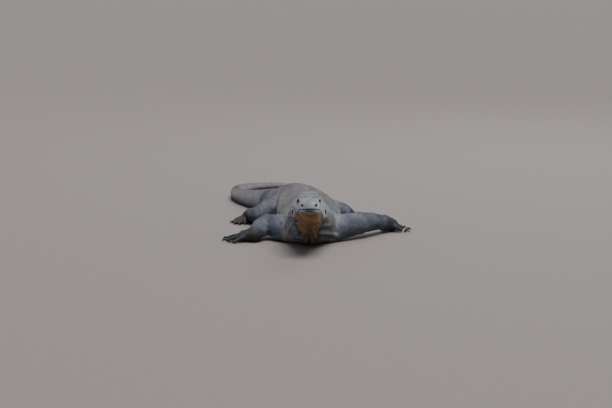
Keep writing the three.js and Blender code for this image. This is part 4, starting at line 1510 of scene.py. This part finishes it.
class Coat:
    """Lays the pieces of scales on the hide one after another, each clear of those before it."""

    def __init__(self, hide, finish):
        self.hide, self.finish, self.laid = hide, finish, None

    def add(self, name, roots, rank, shape):
        piece, new = lay_scales(self.hide, name, roots, rank, shape, self.laid)
        piece.data.materials.append(self.finish)
        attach(piece, "root")
        self.laid = new if self.laid is None else [np.concatenate(pair) for pair in zip(self.laid, new)]


def build_skin(finish):
    """The one skin over the whole animal, in place of every node of flesh."""
    points, quads, outlines = make_skin()
    skin = thinned(mesh_of("skin", to_row(points), quads, outlines), SKIN_TRIANGLES)
    co, triangles = mesh_arrays(skin.data)
    hide = Hide((co - ROW_SHIFT) / MM, triangles)
    marks = markings(hide.points, hide.normals)
    marks["chance"] = np.full(len(hide.points), 0.5)
    # The bare skin takes the shade painted at the scales' bases.
    marks["rise"] = np.full(len(hide.points), 0.12)
    give_marks(skin, marks)
    skin.data.materials.clear()
    skin.data.materials.append(finish)
    flesh = [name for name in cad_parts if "_claw_" not in name and not name.startswith("eye_")]
    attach(skin, "root")
    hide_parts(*flesh)
    return hide


def dress_limb(coat, number, name, limb):
    """Scales of one limb: one piece for the foot and its toes, and one for its two lengths."""
    palm = rows_over(tube_surface(palm_table(limb)), -0.9, 2.9, lambda u: PALM_PITCH, 30 + number)
    toes = [rows_over(tube_surface(toe), -0.2, 2.9, lambda u: TOE_PITCH, 40 + 5 * number + k)
            for k, (toe, _) in enumerate(toe_tables(limb))]
    roots = joined_roots(palm, *toes)
    coat.add("scales_" + name + "_foot", roots, np.ones(len(roots[0])), FOOT_SCALE)
    parts = [rows_over(tube_surface(table), -0.6, 2.8, lambda u: LIMB_PITCH, 60 + 2 * number + k)
             for k, table in enumerate(flesh_tables(limb)[:2])]
    roots = joined_roots(*parts)
    coat.add("scales_" + name, roots, np.ones(len(roots[0])), LIMB_SCALE)


def add_claws(name, limb, finish):
    for numeral, (_, horn) in zip(TOE_NUMERALS, toe_tables(limb)):
        node = name + "_claw_" + numeral
        claw = claw_piece("horn_" + name + "_" + numeral, horn)
        claw.data.materials.append(finish)
        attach(claw, "root")
        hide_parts(node)


def add_eyes(finish):
    for side, sign in (("right", -1), ("left", 1)):
        eye = eye_piece("eyeball_" + side, sign)
        eye.data.materials.append(finish)
        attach(eye, "root")
        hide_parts("eye_" + side)


def build():
    """The whole animal, riding on the one body."""
    colours = hide_group()
    scale_finish = hide_material("scales", colours, 0.0003)
    hide = build_skin(hide_material("bare hide", colours, 0.0008))
    claw_finish = horn_material()
    coat = Coat(hide, scale_finish)
    face = face_rows()
    head = rows_over(muzzle_surface, -0.94, 8.0, axis_pitch, 20, 0.16)
    rank = np.concatenate([np.zeros(len(face[0])), np.ones(len(head[0]))])
    coat.add("scales_head", [np.concatenate(pair) for pair in zip(face, head)], rank, HEAD_SCALE)
    for number, (name, limb) in enumerate(LIMBS.items()):
        dress_limb(coat, number, name, limb)
        add_claws(name, limb, claw_finish)
    for number, (name, start, end, shape) in enumerate(AXIS_COATS):
        roots = rows_over(body_surface, start, end, axis_pitch, 80 + number, 0.08)
        coat.add(name, roots, np.ones(len(roots[0])), shape)
    roots = roots_between(hide, coat.laid)
    coat.add("scales_between", roots, RANDOM.random(len(roots[0])), SMALL_SCALE)
    add_eyes(eye_material())


# ---------------------------------------------------------------- floor, lights and camera

LENS = 111.8  # millimetres, on a sensor 36 mm wide
SENSOR = 36.0
CAMERA_PLACE = (-12.0, -7680.0, 1300.0)
CAMERA_DOWN = 8.35  # degrees
FLOOR_REACH = 90.0  # metres, as are the lights' places
SKY_PLACE, SKY_POWER, SKY_WIDTH = (0.9, -1.6, 4.9), 6.9, 38  # width in degrees
RIM_PLACE, RIM_SIZE, RIM_POWER = (1.8, 3.6, 3.4), (3.0, 2.0), 110


def hang(name, data, place, target):
    """Adds a light at a place, pointing at a target."""
    thing = bpy.data.objects.new(name, data)
    bpy.context.scene.collection.objects.link(thing)
    thing.location = place
    thing.rotation_euler = (Vector(target) - Vector(place)).to_track_quat("-Z", "Y").to_euler()


def add_lights():
    """A broad soft light from high up in front, a weak one from behind, and an even pale blue sky."""
    high_sky = bpy.data.lights.new("high sky", "SUN")
    high_sky.energy = SKY_POWER
    high_sky.angle = math.radians(SKY_WIDTH)
    high_sky.color = (1.0, 0.99, 0.97)
    hang("high sky", high_sky, SKY_PLACE, (0, 0, 0))
    rim = bpy.data.lights.new("rim", "AREA")
    rim.shape = "RECTANGLE"
    rim.size, rim.size_y = RIM_SIZE
    rim.energy = RIM_POWER
    rim.color = (0.94, 0.97, 1.0)
    hang("rim", rim, RIM_PLACE, (0, 0, 0.1))
    world = bpy.data.worlds.new("studio")
    bpy.context.scene.world = world
    world.use_nodes = True
    sky = world.node_tree.nodes["Background"]
    sky.inputs["Color"].default_value = (0.86, 0.92, 1.0, 1.0)
    sky.inputs["Strength"].default_value = 0.58


def add_camera():
    camera = bpy.data.objects.new("camera", bpy.data.cameras.new("camera"))
    camera.data.lens = LENS
    camera.data.sensor_width = SENSOR
    camera.data.clip_end = 100.0
    camera.location = to_row(CAMERA_PLACE)
    camera.rotation_euler = (math.radians(90 - CAMERA_DOWN), 0, 0)
    bpy.context.scene.collection.objects.link(camera)
    bpy.context.scene.camera = camera


def studio():
    """A wide floor of warm grey, the lights and the camera."""
    far = FLOOR_REACH
    corners = np.array([(-far, -far, 0), (far, -far, 0), (far, far, 0), (-far, far, 0)])
    floor = mesh_of("floor", corners, np.array([[0, 1, 2, 3]]))
    floor.data.materials.append(floor_material())
    add_lights()
    add_camera()


build()
studio()
